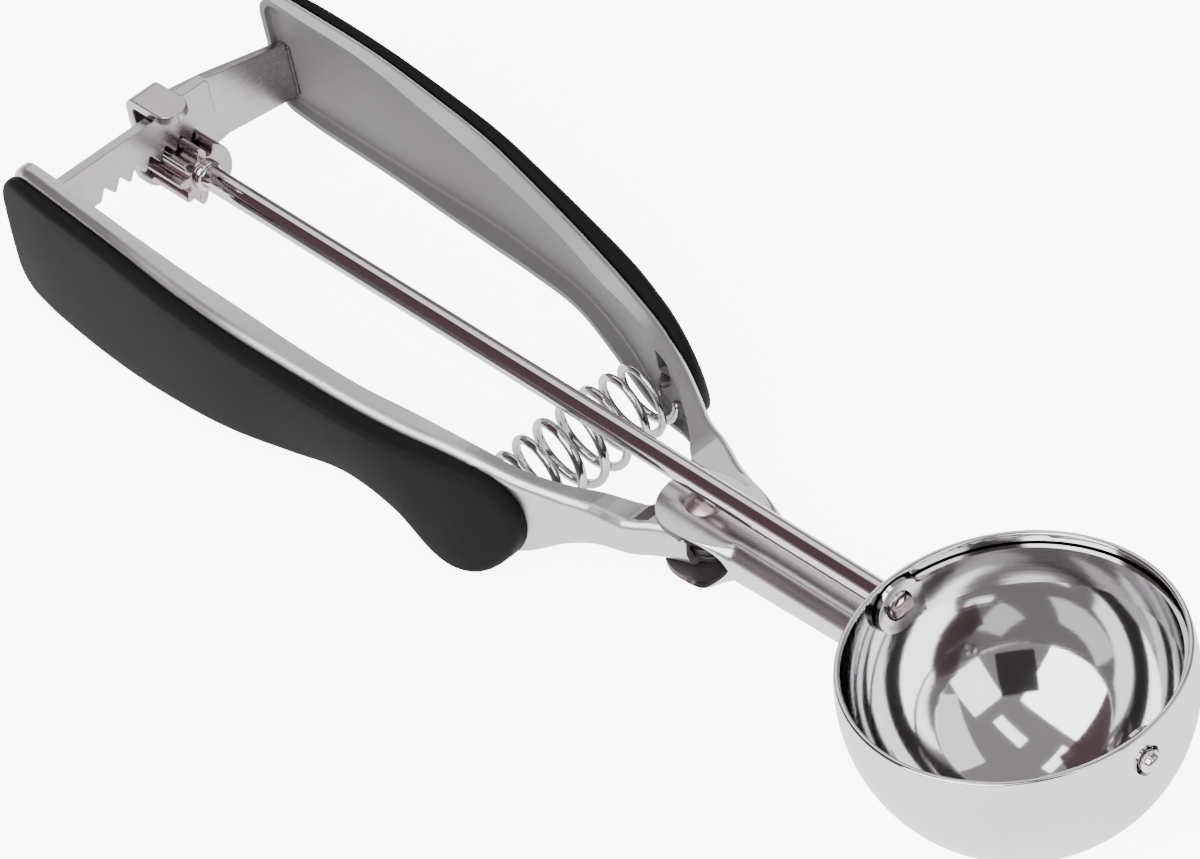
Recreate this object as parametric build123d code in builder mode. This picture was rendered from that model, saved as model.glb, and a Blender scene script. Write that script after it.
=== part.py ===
from build123d import *
import os
from math import pi, sin, cos, tan, acos, asin, atan, sqrt, radians, degrees

os.makedirs("parts", exist_ok=True)

# Lever ice cream scoop. Working frame: X along the rod towards the bowl, Y towards the fixed handle,
# Z up, origin on the rod axis at the centre of the bowl. Millimetres.

# bowl
bowl_outer_r = 26.5
bowl_wall = 0.9
rim_height = 4.9
front_hole_r = 2.4

# rod, blade and blade pin
rod_r = 2.0
running_fit = 0.08
press_gap = 0.02
blade_gap = 0.3
blade_thickness = 0.7
blade_top = 2.8
blade_bottom = -4.2
blade_tab_r = 4.6
blade_tab_reach = 8.0
tenon_r = 1.4
peen_r = 2.5
peen_height = 0.8
blade_pin_r = 1.8
blade_pin_reach = 0.9

# handles
sheet = 1.2
handle_rear = -198.2
handle_edge_r = 1.7
handle_top_corner_r = 5.0
handle_low_corner_r = 3.0
grip_gap = 0.15
grip_rear = -198.7
grip_top_corner_r = 5.5
grip_low_corner_r = 4.5
grip_front = -89.8
grip_front_top_r = 3.0
grip_front_bottom_r = 6.0
grip_edge_r = 1.0
grip_crown = 0.4
pivot_x = -67.5
pivot_r = 2.0
pivot_fit = 0.05
pivot_head_r = 3.3
pivot_head_height = 1.2
ear_r = 4.6
ear_gap = 0.3
neck_angle = 140.0

# stem
stem_top = -4.0
clevis_height = 10.0
clevis_r = 7.7
stem_half_width = 6.0
stem_corner_r = 2.4
stem_rear = -57.0
stem_depth_rear = 7.0
stem_depth_front = 5.2
stem_seam = 0.4
weld_gap = 0.15

# rack, pinion and guide plate
rack_x = -191.0
rack_thickness = 2.0
rack_top = 11.7
rack_right = 7.4
stop_left = 1.9
stop_height = 1.0
stop_corner_r = 0.5
pitch_r = 4.57
gear_count = 9
cut_teeth = 6
rack_spaces = 6
pressure_angle = 30.0
rack_addendum = 0.9
tooth_root_gap = 0.25
backlash = 0.14
pinion_addendum = 0.83
pinion_front = -185.3
plate_front = -195.0
plate_thickness = 1.8
side_gap = 0.2
lobe_r = 6.2
finger_left = -4.6
finger_right = 1.2
finger_reach = 9.5
finger_clearance = 0.5
finger_thickness = 1.8

# spring
spring_x = -98.0
spring_z = -9.9
spring_wire_r = 0.6
spring_end_r = 5.2
spring_mid_r = 6.4
spring_turns = 8
spring_closing = 0.03
tongue_width = 3.4
tongue_reach = 5.0
tongue_slot = 4.0
plate_low_end = -6.4
plate_high_end = 4.6

# place along X where the grips touch the surface that the tool lies on
rest_x = -180.5

bowl_inner_r = bowl_outer_r - bowl_wall
blade_outer_r = bowl_inner_r - blade_gap
blade_inner_r = blade_outer_r - blade_thickness
clevis_bottom = stem_top - clevis_height
lever_ear_top = stem_top - sheet - ear_gap
lever_ear_bottom = clevis_bottom + sheet + ear_gap
fixed_ear_top = lever_ear_top - sheet - ear_gap
fixed_ear_bottom = lever_ear_bottom + sheet + ear_gap
pinion_outer_r = pitch_r + pinion_addendum
pitch = 2 * pi * pitch_r / gear_count
rack_radius = pivot_x - rack_x
rack_root = pinion_outer_r + tooth_root_gap

# handle stations: place along X, outside of the web, free edge of the flanges, top and bottom
handle_stations = [
    (handle_rear, 27.7, 25.0, 15.4, -8.6),
    (-188, 28.1, 24.9, 14.8, -9.6),
    (-172, 28.5, 25.1, 13.6, -10.8),
    (-157, 28.5, 24.4, 11.3, -11.1),
    (-145, 28.0, 23.6, 9.6, -10.8),
    (-133, 26.6, 22.6, 7.5, -10.1),
    (-121, 24.9, 21.1, 5.4, -9.7),
    (-111, 23.1, 19.1, 3.9, -12.2),
    (-104, 21.5, 18.0, 3.1, -16.0),
    (-98, 20.1, 16.9, 2.1, -17.2),
    (-91, 18.0, 15.0, 0.1, -15.2),
    (-85, 15.4, 12.0, -1.6, -12.2),
    (-80, 13.0, 8.6, -3.0, -11.2),
]
neck_rear = (-75.5, 10.5, 5.0)
neck_front = (-72.5, 8.5, 2.6)

# grip stations: place along X, thickness at the top and at the bottom, and how far its top edge and
# its bottom edge lie below those of the handle
grip_stations = [
    (grip_rear, 1.6, 2.2, 1.0, 0.4),
    (-188, 2.2, 3.0, 1.0, 0.7),
    (-172, 2.2, 3.2, 1.0, 0.8),
    (-157, 2.4, 3.2, 1.0, 0.2),
    (-145, 2.5, 2.9, 1.0, 0.0),
    (-133, 2.7, 2.5, 1.0, -0.3),
    (-121, 2.9, 2.7, 1.0, -1.3),
    (-111, 3.1, 3.6, 1.0, -0.9),
    (-104, 2.9, 4.7, 1.0, 0.8),
    (-98, 2.5, 5.1, 1.0, 0.6),
    (grip_front, 1.8, 3.0, 1.0, 1.2),
]


def between(x, column):
    """Value of a handle station column at any place along X."""
    for one, two in zip(handle_stations, handle_stations[1:]):
        if x <= two[0]:
            share = (x - one[0]) / (two[0] - one[0])
            return one[column] + (two[column] - one[column]) * share
    return handle_stations[-1][column]


def web_at(x):
    return between(x, 1)


def top_at(x):
    return between(x, 3)


def bottom_at(x):
    return between(x, 4)


def dome_middle(radius, height):
    """Point half way along the arc of a round cap: distance from its axis and height."""
    ball_r = (radius ** 2 + height ** 2) / (2 * height)
    half = asin(radius / ball_r) / 2
    return ball_r * sin(half), height - ball_r * (1 - cos(half))


def channel(side, rows):
    """Outside shape of the channel, lofted through its stations. Side is 1 or -1 along Y."""
    faces = []
    for x, web, flange, top, bottom in rows:
        r = min(handle_edge_r, 0.28 * (top - bottom))
        k = r * (1 - cos(pi / 4))
        y = side * web
        with BuildSketch(Plane.YZ.offset(x)) as face:
            with BuildLine():
                Line((side * flange, top), (y - side * r, top))
                ThreePointArc((y - side * r, top), (y - side * k, top - k), (y, top - r))
                Line((y, top - r), (y, bottom + r))
                ThreePointArc((y, bottom + r), (y - side * k, bottom + k), (y - side * r, bottom))
                Line((y - side * r, bottom), (side * flange, bottom))
                Line((side * flange, bottom), (side * flange, top))
            make_face()
        faces.append(face.sketch.face())
    return loft(faces, mode=Mode.PRIVATE)


def end_corners(end, inwards, top, top_r, bottom, bottom_r):
    """Waste outside two rounded corners of an end, seen from the side. Inwards is 1 or -1 along X."""
    with BuildPart(mode=Mode.PRIVATE) as waste:
        with BuildSketch(Plane.XZ) as corners:
            for level, up, radius in ((top, 1, top_r), (bottom, -1, bottom_r)):
                inset = radius * (1 - cos(pi / 4))
                start, finish = (end, level - up * radius), (end + inwards * radius, level)
                with BuildLine():
                    ThreePointArc(start, (end + inwards * inset, level - up * inset), finish)
                    Polyline(finish, (finish[0], level + up * radius),
                             (end - inwards * radius, level + up * radius),
                             (end - inwards * radius, start[1]), start)
                make_face()
        extrude(corners.sketch, amount=60, both=True)
    return waste.part


def hollow(side, rows):
    """Room inside the channel, open towards the other handle and walled at the rear end."""
    faces = []
    for x, web, flange, top, bottom in rows:
        place = x + sheet if x == handle_rear else x
        with BuildSketch(Plane.YZ.offset(place)) as face:
            with BuildLine():
                Polyline((side * (web - sheet), top - sheet), (side * (web - sheet), bottom + sheet),
                         (side * (flange - 9), bottom + sheet), (side * (flange - 9), top - sheet),
                         close=True)
            make_face()
        faces.append(face.sketch.face())
    return loft(faces, mode=Mode.PRIVATE)


def ear(side, level):
    """Flat ear round the pivot, with its underside at the given level."""
    turn = radians(neck_angle - 90)
    outer = (pivot_x + ear_r * cos(turn), side * ear_r * sin(turn))
    inner = (pivot_x - ear_r * cos(turn), -side * ear_r * sin(turn))
    tip = (pivot_x + ear_r * sin(turn), -side * ear_r * cos(turn))
    with BuildSketch(Plane.XY.offset(level)) as plan:
        with BuildLine():
            ThreePointArc(outer, tip, inner)
            Polyline(inner, (neck_rear[0], side * neck_rear[2]),
                     (neck_rear[0], side * (neck_rear[1] - handle_edge_r)),
                     (neck_front[0], side * (neck_front[1] - sheet)), outer)
        make_face()
    extrude(plan.sketch, amount=sheet)


def pressed_handle(side, ear_top, ear_bottom):
    """Channel-shaped handle with two ears round the pivot and a tongue for the spring."""
    neck = [(x, web, flange, ear_top, ear_bottom) for x, web, flange in (neck_rear, neck_front)]
    body = handle_stations + neck[:1]
    top, bottom = top_at(handle_rear), bottom_at(handle_rear)
    add(channel(side, body) - end_corners(handle_rear, 1, top, handle_top_corner_r,
                                          bottom, handle_low_corner_r))
    add(channel(side, neck))
    add(hollow(side, body) - end_corners(handle_rear + sheet, 1, top - sheet, handle_top_corner_r - sheet,
                                         bottom + sheet, handle_low_corner_r - sheet), mode=Mode.SUBTRACT)
    add(hollow(side, neck), mode=Mode.SUBTRACT)
    ear(side, ear_top - sheet)
    ear(side, ear_bottom)
    with Locations((pivot_x, 0, 0)):
        Cylinder(pivot_r + pivot_fit, 60, mode=Mode.SUBTRACT)
    # tongue pressed out of the web into the end of the spring
    web_y = web_at(spring_x) - sheet / 2
    with Locations((spring_x, side * web_y, spring_z + sheet / 2 + tongue_slot / 2)):
        Box(tongue_width + 0.6, 3 * sheet, tongue_slot, mode=Mode.SUBTRACT)
    with Locations((spring_x, side * (web_y - tongue_reach / 2), spring_z)):
        Box(tongue_width, tongue_reach, sheet)


def grip(side):
    """Moulded cover of the outside of a handle, with rounded edges and a slightly crowned face."""
    faces = []
    for x, upper, lower, top_drop, bottom_drop in grip_stations:
        top, bottom = top_at(x) - top_drop, bottom_at(x) - bottom_drop
        inner = side * (web_at(x) + grip_gap)
        high, low = inner + side * upper, inner + side * lower
        face_y = (high + low) / 2 + side * grip_crown
        face_z = (top + bottom) / 2
        r = min(grip_edge_r, 0.4 * upper)
        k = r * (1 - cos(pi / 4))
        with BuildSketch(Plane.YZ.offset(x)) as face:
            with BuildLine():
                Line((inner, bottom), (inner, top))
                Line((inner, top), (high - side * r, top))
                ThreePointArc((high - side * r, top), (high - side * k, top - k), (high, top - r))
                ThreePointArc((high, top - r), (face_y, face_z), (low, bottom + r))
                ThreePointArc((low, bottom + r), (low - side * k, bottom + k), (low - side * r, bottom))
                Line((low - side * r, bottom), (inner, bottom))
            make_face()
        faces.append(face.sketch.face())
    rear, front = grip_stations[0], grip_stations[-1]
    add(loft(faces, mode=Mode.PRIVATE)
        - end_corners(grip_rear, 1, top_at(grip_rear) - rear[3], grip_top_corner_r,
                      bottom_at(grip_rear) - rear[4], grip_low_corner_r)
        - end_corners(grip_front, -1, top_at(grip_front) - front[3], grip_front_top_r,
                      bottom_at(grip_front) - front[4], grip_front_bottom_r))


with BuildPart() as fixed_handle:
    pressed_handle(1, fixed_ear_top, fixed_ear_bottom)
fixed_handle.part.label = "fixed_handle"

with BuildPart() as lever_handle:
    pressed_handle(-1, lever_ear_top, lever_ear_bottom)
lever_handle.part.label = "lever_handle"

with BuildPart() as fixed_grip:
    grip(1)
fixed_grip.part.label = "fixed_grip"

with BuildPart() as lever_grip:
    grip(-1)
lever_grip.part.label = "lever_grip"

# bowl: half ball raised to its rim, bored for the rod and the blade pin
with BuildPart() as bowl:
    Sphere(bowl_outer_r)
    Sphere(bowl_inner_r, mode=Mode.SUBTRACT)
    with Locations((0, 0, rim_height + bowl_outer_r)):
        Box(3 * bowl_outer_r, 3 * bowl_outer_r, 2 * bowl_outer_r, mode=Mode.SUBTRACT)
    with Locations(Location((-bowl_outer_r, 0, 0), (0, 90, 0))):
        Cylinder(rod_r + running_fit, 10, mode=Mode.SUBTRACT)
    with Locations(Location((bowl_outer_r, 0, 0), (0, 90, 0))):
        Cylinder(front_hole_r, 10, mode=Mode.SUBTRACT)
bowl.part.label = "bowl"

# stem: folded tube with a seam below, opened at the rear into a clevis for the handle ears
with BuildPart() as stem:
    for inwards, mode in ((0, Mode.ADD), (sheet, Mode.SUBTRACT)):
        faces = []
        for x, depth in ((stem_rear - inwards, stem_depth_rear), (0, stem_depth_front)):
            half = stem_half_width - inwards
            with BuildSketch(Plane.YZ.offset(x)) as face:
                with Locations((0, stem_top - depth / 2)):
                    RectangleRounded(2 * half, depth - 2 * inwards, stem_corner_r - inwards)
            faces.append(face.sketch.face())
        add(loft(faces, mode=Mode.PRIVATE), mode=mode)
    with Locations((stem_rear / 2, 0, stem_top - stem_depth_front - 1)):
        Box(-stem_rear + 2, stem_seam, stem_depth_rear - 2 * sheet, mode=Mode.SUBTRACT)
    Sphere(bowl_outer_r + weld_gap, mode=Mode.SUBTRACT)
    with BuildSketch(Plane.XY.offset(-40)) as clevis_plan:
        with Locations((pivot_x, 0)):
            Circle(clevis_r)
        Polygon((pivot_x, clevis_r), (pivot_x, -clevis_r), (stem_rear, -stem_half_width + 0.8),
                (stem_rear, stem_half_width - 0.8), align=None)
    with BuildPart(mode=Mode.PRIVATE) as clevis:
        extrude(clevis_plan.sketch, amount=80)
        with BuildSketch(Plane.XZ) as clevis_side:
            with BuildLine():
                Polyline((pivot_x - 12, stem_top), (stem_rear, stem_top), (stem_rear, stem_top - sheet),
                         (pivot_x - 12, stem_top - sheet), close=True)
            make_face()
            with BuildLine():
                Polyline((pivot_x - 12, clevis_bottom), (pivot_x + 5, clevis_bottom),
                         (stem_rear, stem_top - stem_depth_rear),
                         (stem_rear, stem_top - stem_depth_rear + sheet),
                         (pivot_x + 5, clevis_bottom + sheet), (pivot_x - 12, clevis_bottom + sheet),
                         close=True)
            make_face()
        extrude(clevis_side.sketch, amount=30, both=True, mode=Mode.INTERSECT)
    add(clevis.part)
    with Locations((pivot_x, 0, 0)):
        Cylinder(pivot_r + pivot_fit, 60, mode=Mode.SUBTRACT)
stem.part.label = "stem"

# rivet: shank with a domed head on each side of the clevis
dome = dome_middle(pivot_head_r, pivot_head_height)
with BuildPart() as pivot_rivet:
    with BuildSketch(Plane.XZ) as rivet_half:
        with BuildLine():
            Polyline((pivot_r, stem_top), (pivot_head_r, stem_top))
            ThreePointArc((pivot_head_r, stem_top), (dome[0], stem_top + dome[1]),
                          (0, stem_top + pivot_head_height))
            Line((0, stem_top + pivot_head_height), (0, clevis_bottom - pivot_head_height))
            ThreePointArc((0, clevis_bottom - pivot_head_height), (dome[0], clevis_bottom - dome[1]),
                          (pivot_head_r, clevis_bottom))
            Polyline((pivot_head_r, clevis_bottom), (pivot_r, clevis_bottom), (pivot_r, stem_top))
        make_face()
    revolve(rivet_half.sketch, axis=Axis.Z)
    pivot_rivet.part = pivot_rivet.part.moved(Location((pivot_x, 0, 0)))
pivot_rivet.part.label = "pivot_rivet"


def along_x(start, end, radius):
    """Round length on the rod axis."""
    with Locations(Location(((start + end) / 2, 0, 0), (0, 90, 0))):
        Cylinder(radius, end - start)


def peened_head(base, height, radius):
    """Domed head on the rod axis. A negative height points to the rear."""
    away, rise = dome_middle(radius, abs(height))
    rise = rise if height > 0 else -rise
    with BuildSketch(Plane.XY) as half:
        with BuildLine():
            Line((base, 0), (base, radius))
            ThreePointArc((base, radius), (base + rise, away), (base + height, 0))
            Line((base + height, 0), (base, 0))
        make_face()
    revolve(half.sketch, axis=Axis.X)


# rod: bears in the guide plate and in the bowl, and is peened over at both ends
plate_rear = plate_front - plate_thickness
rod_shoulder = -blade_outer_r - 0.1
tab_inside = sqrt(blade_inner_r ** 2 - peen_r ** 2)
with BuildPart() as drive_rod:
    along_x(plate_rear - side_gap, rod_shoulder, rod_r)
    peened_head(plate_rear - side_gap, -peen_height, rod_r + 0.9)
    along_x(rod_shoulder, -tab_inside + 0.06, tenon_r)
    peened_head(-tab_inside + 0.06, peen_height, peen_r)
drive_rod.part.label = "drive_rod"

# blade pin: short rivet through the front tab and the front hole of the bowl
with BuildPart() as blade_pin:
    along_x(tab_inside - 0.06, bowl_outer_r + blade_pin_reach, blade_pin_r)
    peened_head(tab_inside - 0.06, -peen_height, peen_r)
blade_pin.part.label = "blade_pin"

# blade: strip of a ball inside the bowl, with a round tab on the axis at each end
with BuildPart() as scraper_blade:
    with Locations((0, bowl_outer_r / 2, (blade_top + blade_bottom) / 2)):
        Box(2 * bowl_outer_r, bowl_outer_r, blade_top - blade_bottom)
    for end in (-1, 1):
        along_x(end * (blade_outer_r - blade_tab_reach / 2) - blade_tab_reach / 2,
                end * (blade_outer_r - blade_tab_reach / 2) + blade_tab_reach / 2, blade_tab_r)
    Sphere(blade_outer_r, mode=Mode.INTERSECT)
    Sphere(blade_inner_r, mode=Mode.SUBTRACT)
    with Locations(Location((-blade_outer_r, 0, 0), (0, 90, 0))):
        Cylinder(tenon_r + press_gap, 6, mode=Mode.SUBTRACT)
    with Locations(Location((blade_outer_r, 0, 0), (0, 90, 0))):
        Cylinder(blade_pin_r + press_gap, 6, mode=Mode.SUBTRACT)
scraper_blade.part.label = "scraper_blade"

# pinion: involute teeth on one part of its edge, the rest left at full size
base_r = pitch_r * cos(radians(pressure_angle))


def flank_angle(radius):
    """Half angle of a tooth at the given radius."""
    lean = acos(base_r / radius)
    start = radians(pressure_angle)
    return pi / (2 * gear_count) + tan(start) - start - tan(lean) + lean


with BuildPart() as pinion:
    with BuildSketch(Plane.YZ.offset(plate_front + side_gap)):
        Circle(pitch_r - rack_addendum - tooth_root_gap)
        for tooth in range(cut_teeth):
            turn = pi / 2 + tooth * 2 * pi / gear_count
            radii = [base_r + (pinion_outer_r - base_r) * step / 4 for step in range(5)]
            left = [(r * cos(turn + flank_angle(r)), r * sin(turn + flank_angle(r))) for r in radii]
            right = [(r * cos(turn - flank_angle(r)), r * sin(turn - flank_angle(r))) for r in radii]
            half = flank_angle(base_r)
            foot = base_r * 0.6
            with BuildLine():
                Spline(*left)
                ThreePointArc(left[-1], (pinion_outer_r * cos(turn), pinion_outer_r * sin(turn)),
                              right[-1])
                Spline(*right)
                Polyline(right[0], (foot * cos(turn - half), foot * sin(turn - half)),
                         (foot * cos(turn + half), foot * sin(turn + half)), left[0])
            make_face()
        uncut_from = pi / 2 + cut_teeth * 2 * pi / gear_count - pi / (2 * gear_count)
        uncut_to = pi / 2 + 2 * pi - 2 * pi / gear_count + pi / (2 * gear_count)
        middle = (uncut_from + uncut_to) / 2
        with BuildLine():
            Line((0, 0), (pinion_outer_r * cos(uncut_from), pinion_outer_r * sin(uncut_from)))
            ThreePointArc((pinion_outer_r * cos(uncut_from), pinion_outer_r * sin(uncut_from)),
                          (pinion_outer_r * cos(middle), pinion_outer_r * sin(middle)),
                          (pinion_outer_r * cos(uncut_to), pinion_outer_r * sin(uncut_to)))
            Line((pinion_outer_r * cos(uncut_to), pinion_outer_r * sin(uncut_to)), (0, 0))
        make_face()
        Circle(rod_r + press_gap, mode=Mode.SUBTRACT)
    extrude(amount=pinion_front - plate_front - side_gap)
pinion.part.label = "pinion"

# rack: flat bar welded into the lever, its teeth cut on lines through the pivot
bar_end = web_at(rack_x) - sheet - weld_gap
with BuildPart() as rack:
    with BuildSketch(Plane.YZ.offset(rack_x - rack_thickness / 2)):
        with BuildLine():
            Polyline((-bar_end, pitch_r - rack_addendum), (pitch, pitch_r - rack_addendum),
                     (pitch, rack_root), (rack_right, rack_root), (rack_right, rack_top + stop_height),
                     (stop_left, rack_top + stop_height), (stop_left, rack_top),
                     (-bar_end, rack_top), close=True)
        make_face()
        fillet(vertices().group_by(Axis.Y)[-1], radius=stop_corner_r)
    extrude(amount=rack_thickness)
    for space in range(-1, rack_spaces):
        turn = space * pitch / rack_radius
        slot_place = Plane(origin=(pivot_x - rack_radius * cos(turn), -rack_radius * sin(turn), 0),
                           x_dir=(-sin(turn), cos(turn), 0), z_dir=(cos(turn), sin(turn), 0))
        lean = tan(radians(pressure_angle))
        width = pitch / 2 + backlash
        low = pitch_r - rack_addendum - 0.5
        with BuildSketch(slot_place.offset(-3)):
            with BuildLine():
                Polyline((-width / 2 - (pitch_r - low) * lean, low),
                         (-width / 2 + (rack_root - pitch_r) * lean, rack_root),
                         (width / 2 - (rack_root - pitch_r) * lean, rack_root),
                         (width / 2 + (pitch_r - low) * lean, low), close=True)
            make_face()
        extrude(amount=6, mode=Mode.SUBTRACT)
rack.part.label = "rack"

# guide plate: welded into the fixed handle, bears the rod and folds forward over the rack
finger_under = rack_top + finger_clearance
finger_over = finger_under + finger_thickness
finger_tip = plate_front + finger_reach
plate_end = web_at(plate_front - plate_thickness / 2) - sheet - weld_gap
with BuildPart() as guide_plate:
    with BuildSketch(Plane.YZ.offset(plate_rear)) as plate_face:
        Circle(lobe_r)
        with BuildLine():
            Polyline((plate_end, plate_low_end), (plate_end, plate_high_end),
                     (finger_right + 9, rack_top - 3.3), (finger_right, rack_top - 1.2),
                     (finger_right, finger_under), (finger_left, finger_under), (finger_left, 3.2),
                     (0, 0), (1.0, -lobe_r + 0.08), (12.1, plate_low_end + 1.9), close=True)
        make_face()
        Circle(rod_r + running_fit, mode=Mode.SUBTRACT)
    extrude(plate_face.sketch, amount=plate_thickness)
    with BuildSketch(Plane.XZ.offset(-finger_right)) as finger_side:
        bend = 0.9 * finger_thickness
        with BuildLine():
            Polyline((plate_front, finger_under), (plate_rear, finger_under),
                     (plate_rear, finger_over - bend))
            RadiusArc((plate_rear, finger_over - bend), (plate_rear + bend, finger_over), bend)
            Polyline((plate_rear + bend, finger_over), (finger_tip, finger_over - 0.3),
                     (finger_tip, finger_under), (plate_front, finger_under))
        make_face()
    extrude(finger_side.sketch, amount=finger_right - finger_left)
    tip_edges = edges().filter_by(Axis.Z).group_by(Axis.X)[-1]
    fillet(tip_edges, radius=(finger_right - finger_left) / 2 - 0.2)
guide_plate.part.label = "guide_plate"

# return spring: barrel-shaped coil between the two webs
spring_half = web_at(spring_x + spring_end_r) - sheet - spring_wire_r - 0.15
with BuildPart() as return_spring:
    points = []
    count = spring_turns * 12
    for step in range(count + 1):
        share = step / count
        angle = 2 * pi * spring_turns * share
        y = -spring_half + 2 * spring_half * (share - spring_closing * sin(2 * pi * share))
        r = spring_end_r + (spring_mid_r - spring_end_r) * sin(pi * share)
        points.append((spring_x + r * cos(angle), y, spring_z + r * sin(angle)))
    with BuildLine() as coil:
        Spline(*points)
    with BuildSketch(Plane(origin=coil.line @ 0, z_dir=coil.line % 0)) as wire:
        Circle(spring_wire_r)
    sweep(wire.sketch, path=coil.line, is_frenet=True)
return_spring.part.label = "return_spring"

pieces = [bowl, stem, fixed_handle, fixed_grip, guide_plate, pivot_rivet, lever_handle, lever_grip,
          rack, drive_rod, pinion, scraper_blade, blade_pin, return_spring]

# The tool lies on its bowl and on the rear ends of both grips. The finished frame has its origin
# under the middle of the tool on the surface that it lies on.
touching = fixed_grip.part & Face.make_rect(200, 200, Plane.YZ.offset(rest_x))
rest_z = touching.bounding_box().min.Z
rest_tilt = degrees(asin(bowl_outer_r / sqrt(rest_x ** 2 + rest_z ** 2)) - atan(rest_z / rest_x))
lying = Location((0, 0, bowl_outer_r), (0, -rest_tilt, 0))
extent = Compound([piece.part.moved(lying) for piece in pieces]).bounding_box()
rest = Location((-(extent.min.X + extent.max.X) / 2, 0, bowl_outer_r), (0, -rest_tilt, 0))
for piece in pieces:
    part = piece.part.moved(rest)
    part.label = piece.part.label
    export_step(part, f"parts/{part.label}.step")
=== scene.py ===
"""Look of a lever ice cream scoop, dressed over its CAD frame."""
import logging
import math
from collections.abc import Callable
from dataclasses import dataclass
from enum import Enum

import bmesh
import bpy
from mathutils import Matrix, Vector


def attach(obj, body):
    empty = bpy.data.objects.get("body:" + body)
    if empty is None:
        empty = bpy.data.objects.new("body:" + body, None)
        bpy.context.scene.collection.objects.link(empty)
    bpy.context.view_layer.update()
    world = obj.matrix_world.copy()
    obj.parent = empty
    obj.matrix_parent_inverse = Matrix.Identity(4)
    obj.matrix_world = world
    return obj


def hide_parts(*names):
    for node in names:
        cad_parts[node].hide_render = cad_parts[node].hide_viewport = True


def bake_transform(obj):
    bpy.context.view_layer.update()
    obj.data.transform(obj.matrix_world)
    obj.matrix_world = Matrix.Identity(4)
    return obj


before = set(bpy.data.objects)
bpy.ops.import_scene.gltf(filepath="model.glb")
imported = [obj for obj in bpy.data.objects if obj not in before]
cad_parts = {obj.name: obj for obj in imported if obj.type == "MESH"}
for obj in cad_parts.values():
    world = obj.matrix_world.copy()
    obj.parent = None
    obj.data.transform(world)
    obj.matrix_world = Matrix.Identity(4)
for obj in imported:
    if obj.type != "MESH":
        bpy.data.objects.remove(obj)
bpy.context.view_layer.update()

log = logging.getLogger("scoop")
MM = 0.001
QUARTER = math.pi / 2
HALF_TURN = math.pi
FULL_TURN = 2 * math.pi
MERGE_MM = 1e-4
CUT_MM = 1e-5
SHARP_DEG = 32.0
SEAM_MM = 0.05
Line = Callable[[float], float]


class Body(Enum):
    """Bodies of the mechanism that a piece can move with."""

    FRAME = "frame"
    LEVER = "lever"
    SHAFT = "shaft"


class Side(Enum):
    """The two handles, by their side of the rod."""

    FIXED = 1
    LEVER = -1


@dataclass(frozen=True)
class ToolFrame:
    """Working frame of the tool: X along the rod, origin on the rod at the bowl's centre, millimetres.

    Args:
        tilt_deg: how far the rod slopes up towards the bowl.
        origin_x, origin_z: place of the origin in the row frame.
    """

    tilt_deg: float = 4.84759
    origin_x: float = 85.6547
    origin_z: float = 26.5

    def matrix(self) -> Matrix:
        """Matrix from tool millimetres to the row frame in metres.

        Returns:
            The matrix.
        """
        turn = Matrix.Rotation(math.radians(-self.tilt_deg), 4, "Y")
        shift = Matrix.Translation((self.origin_x * MM, 0.0, self.origin_z * MM))
        return shift @ turn @ Matrix.Scale(MM, 4)


TOOL = ToolFrame()


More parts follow.
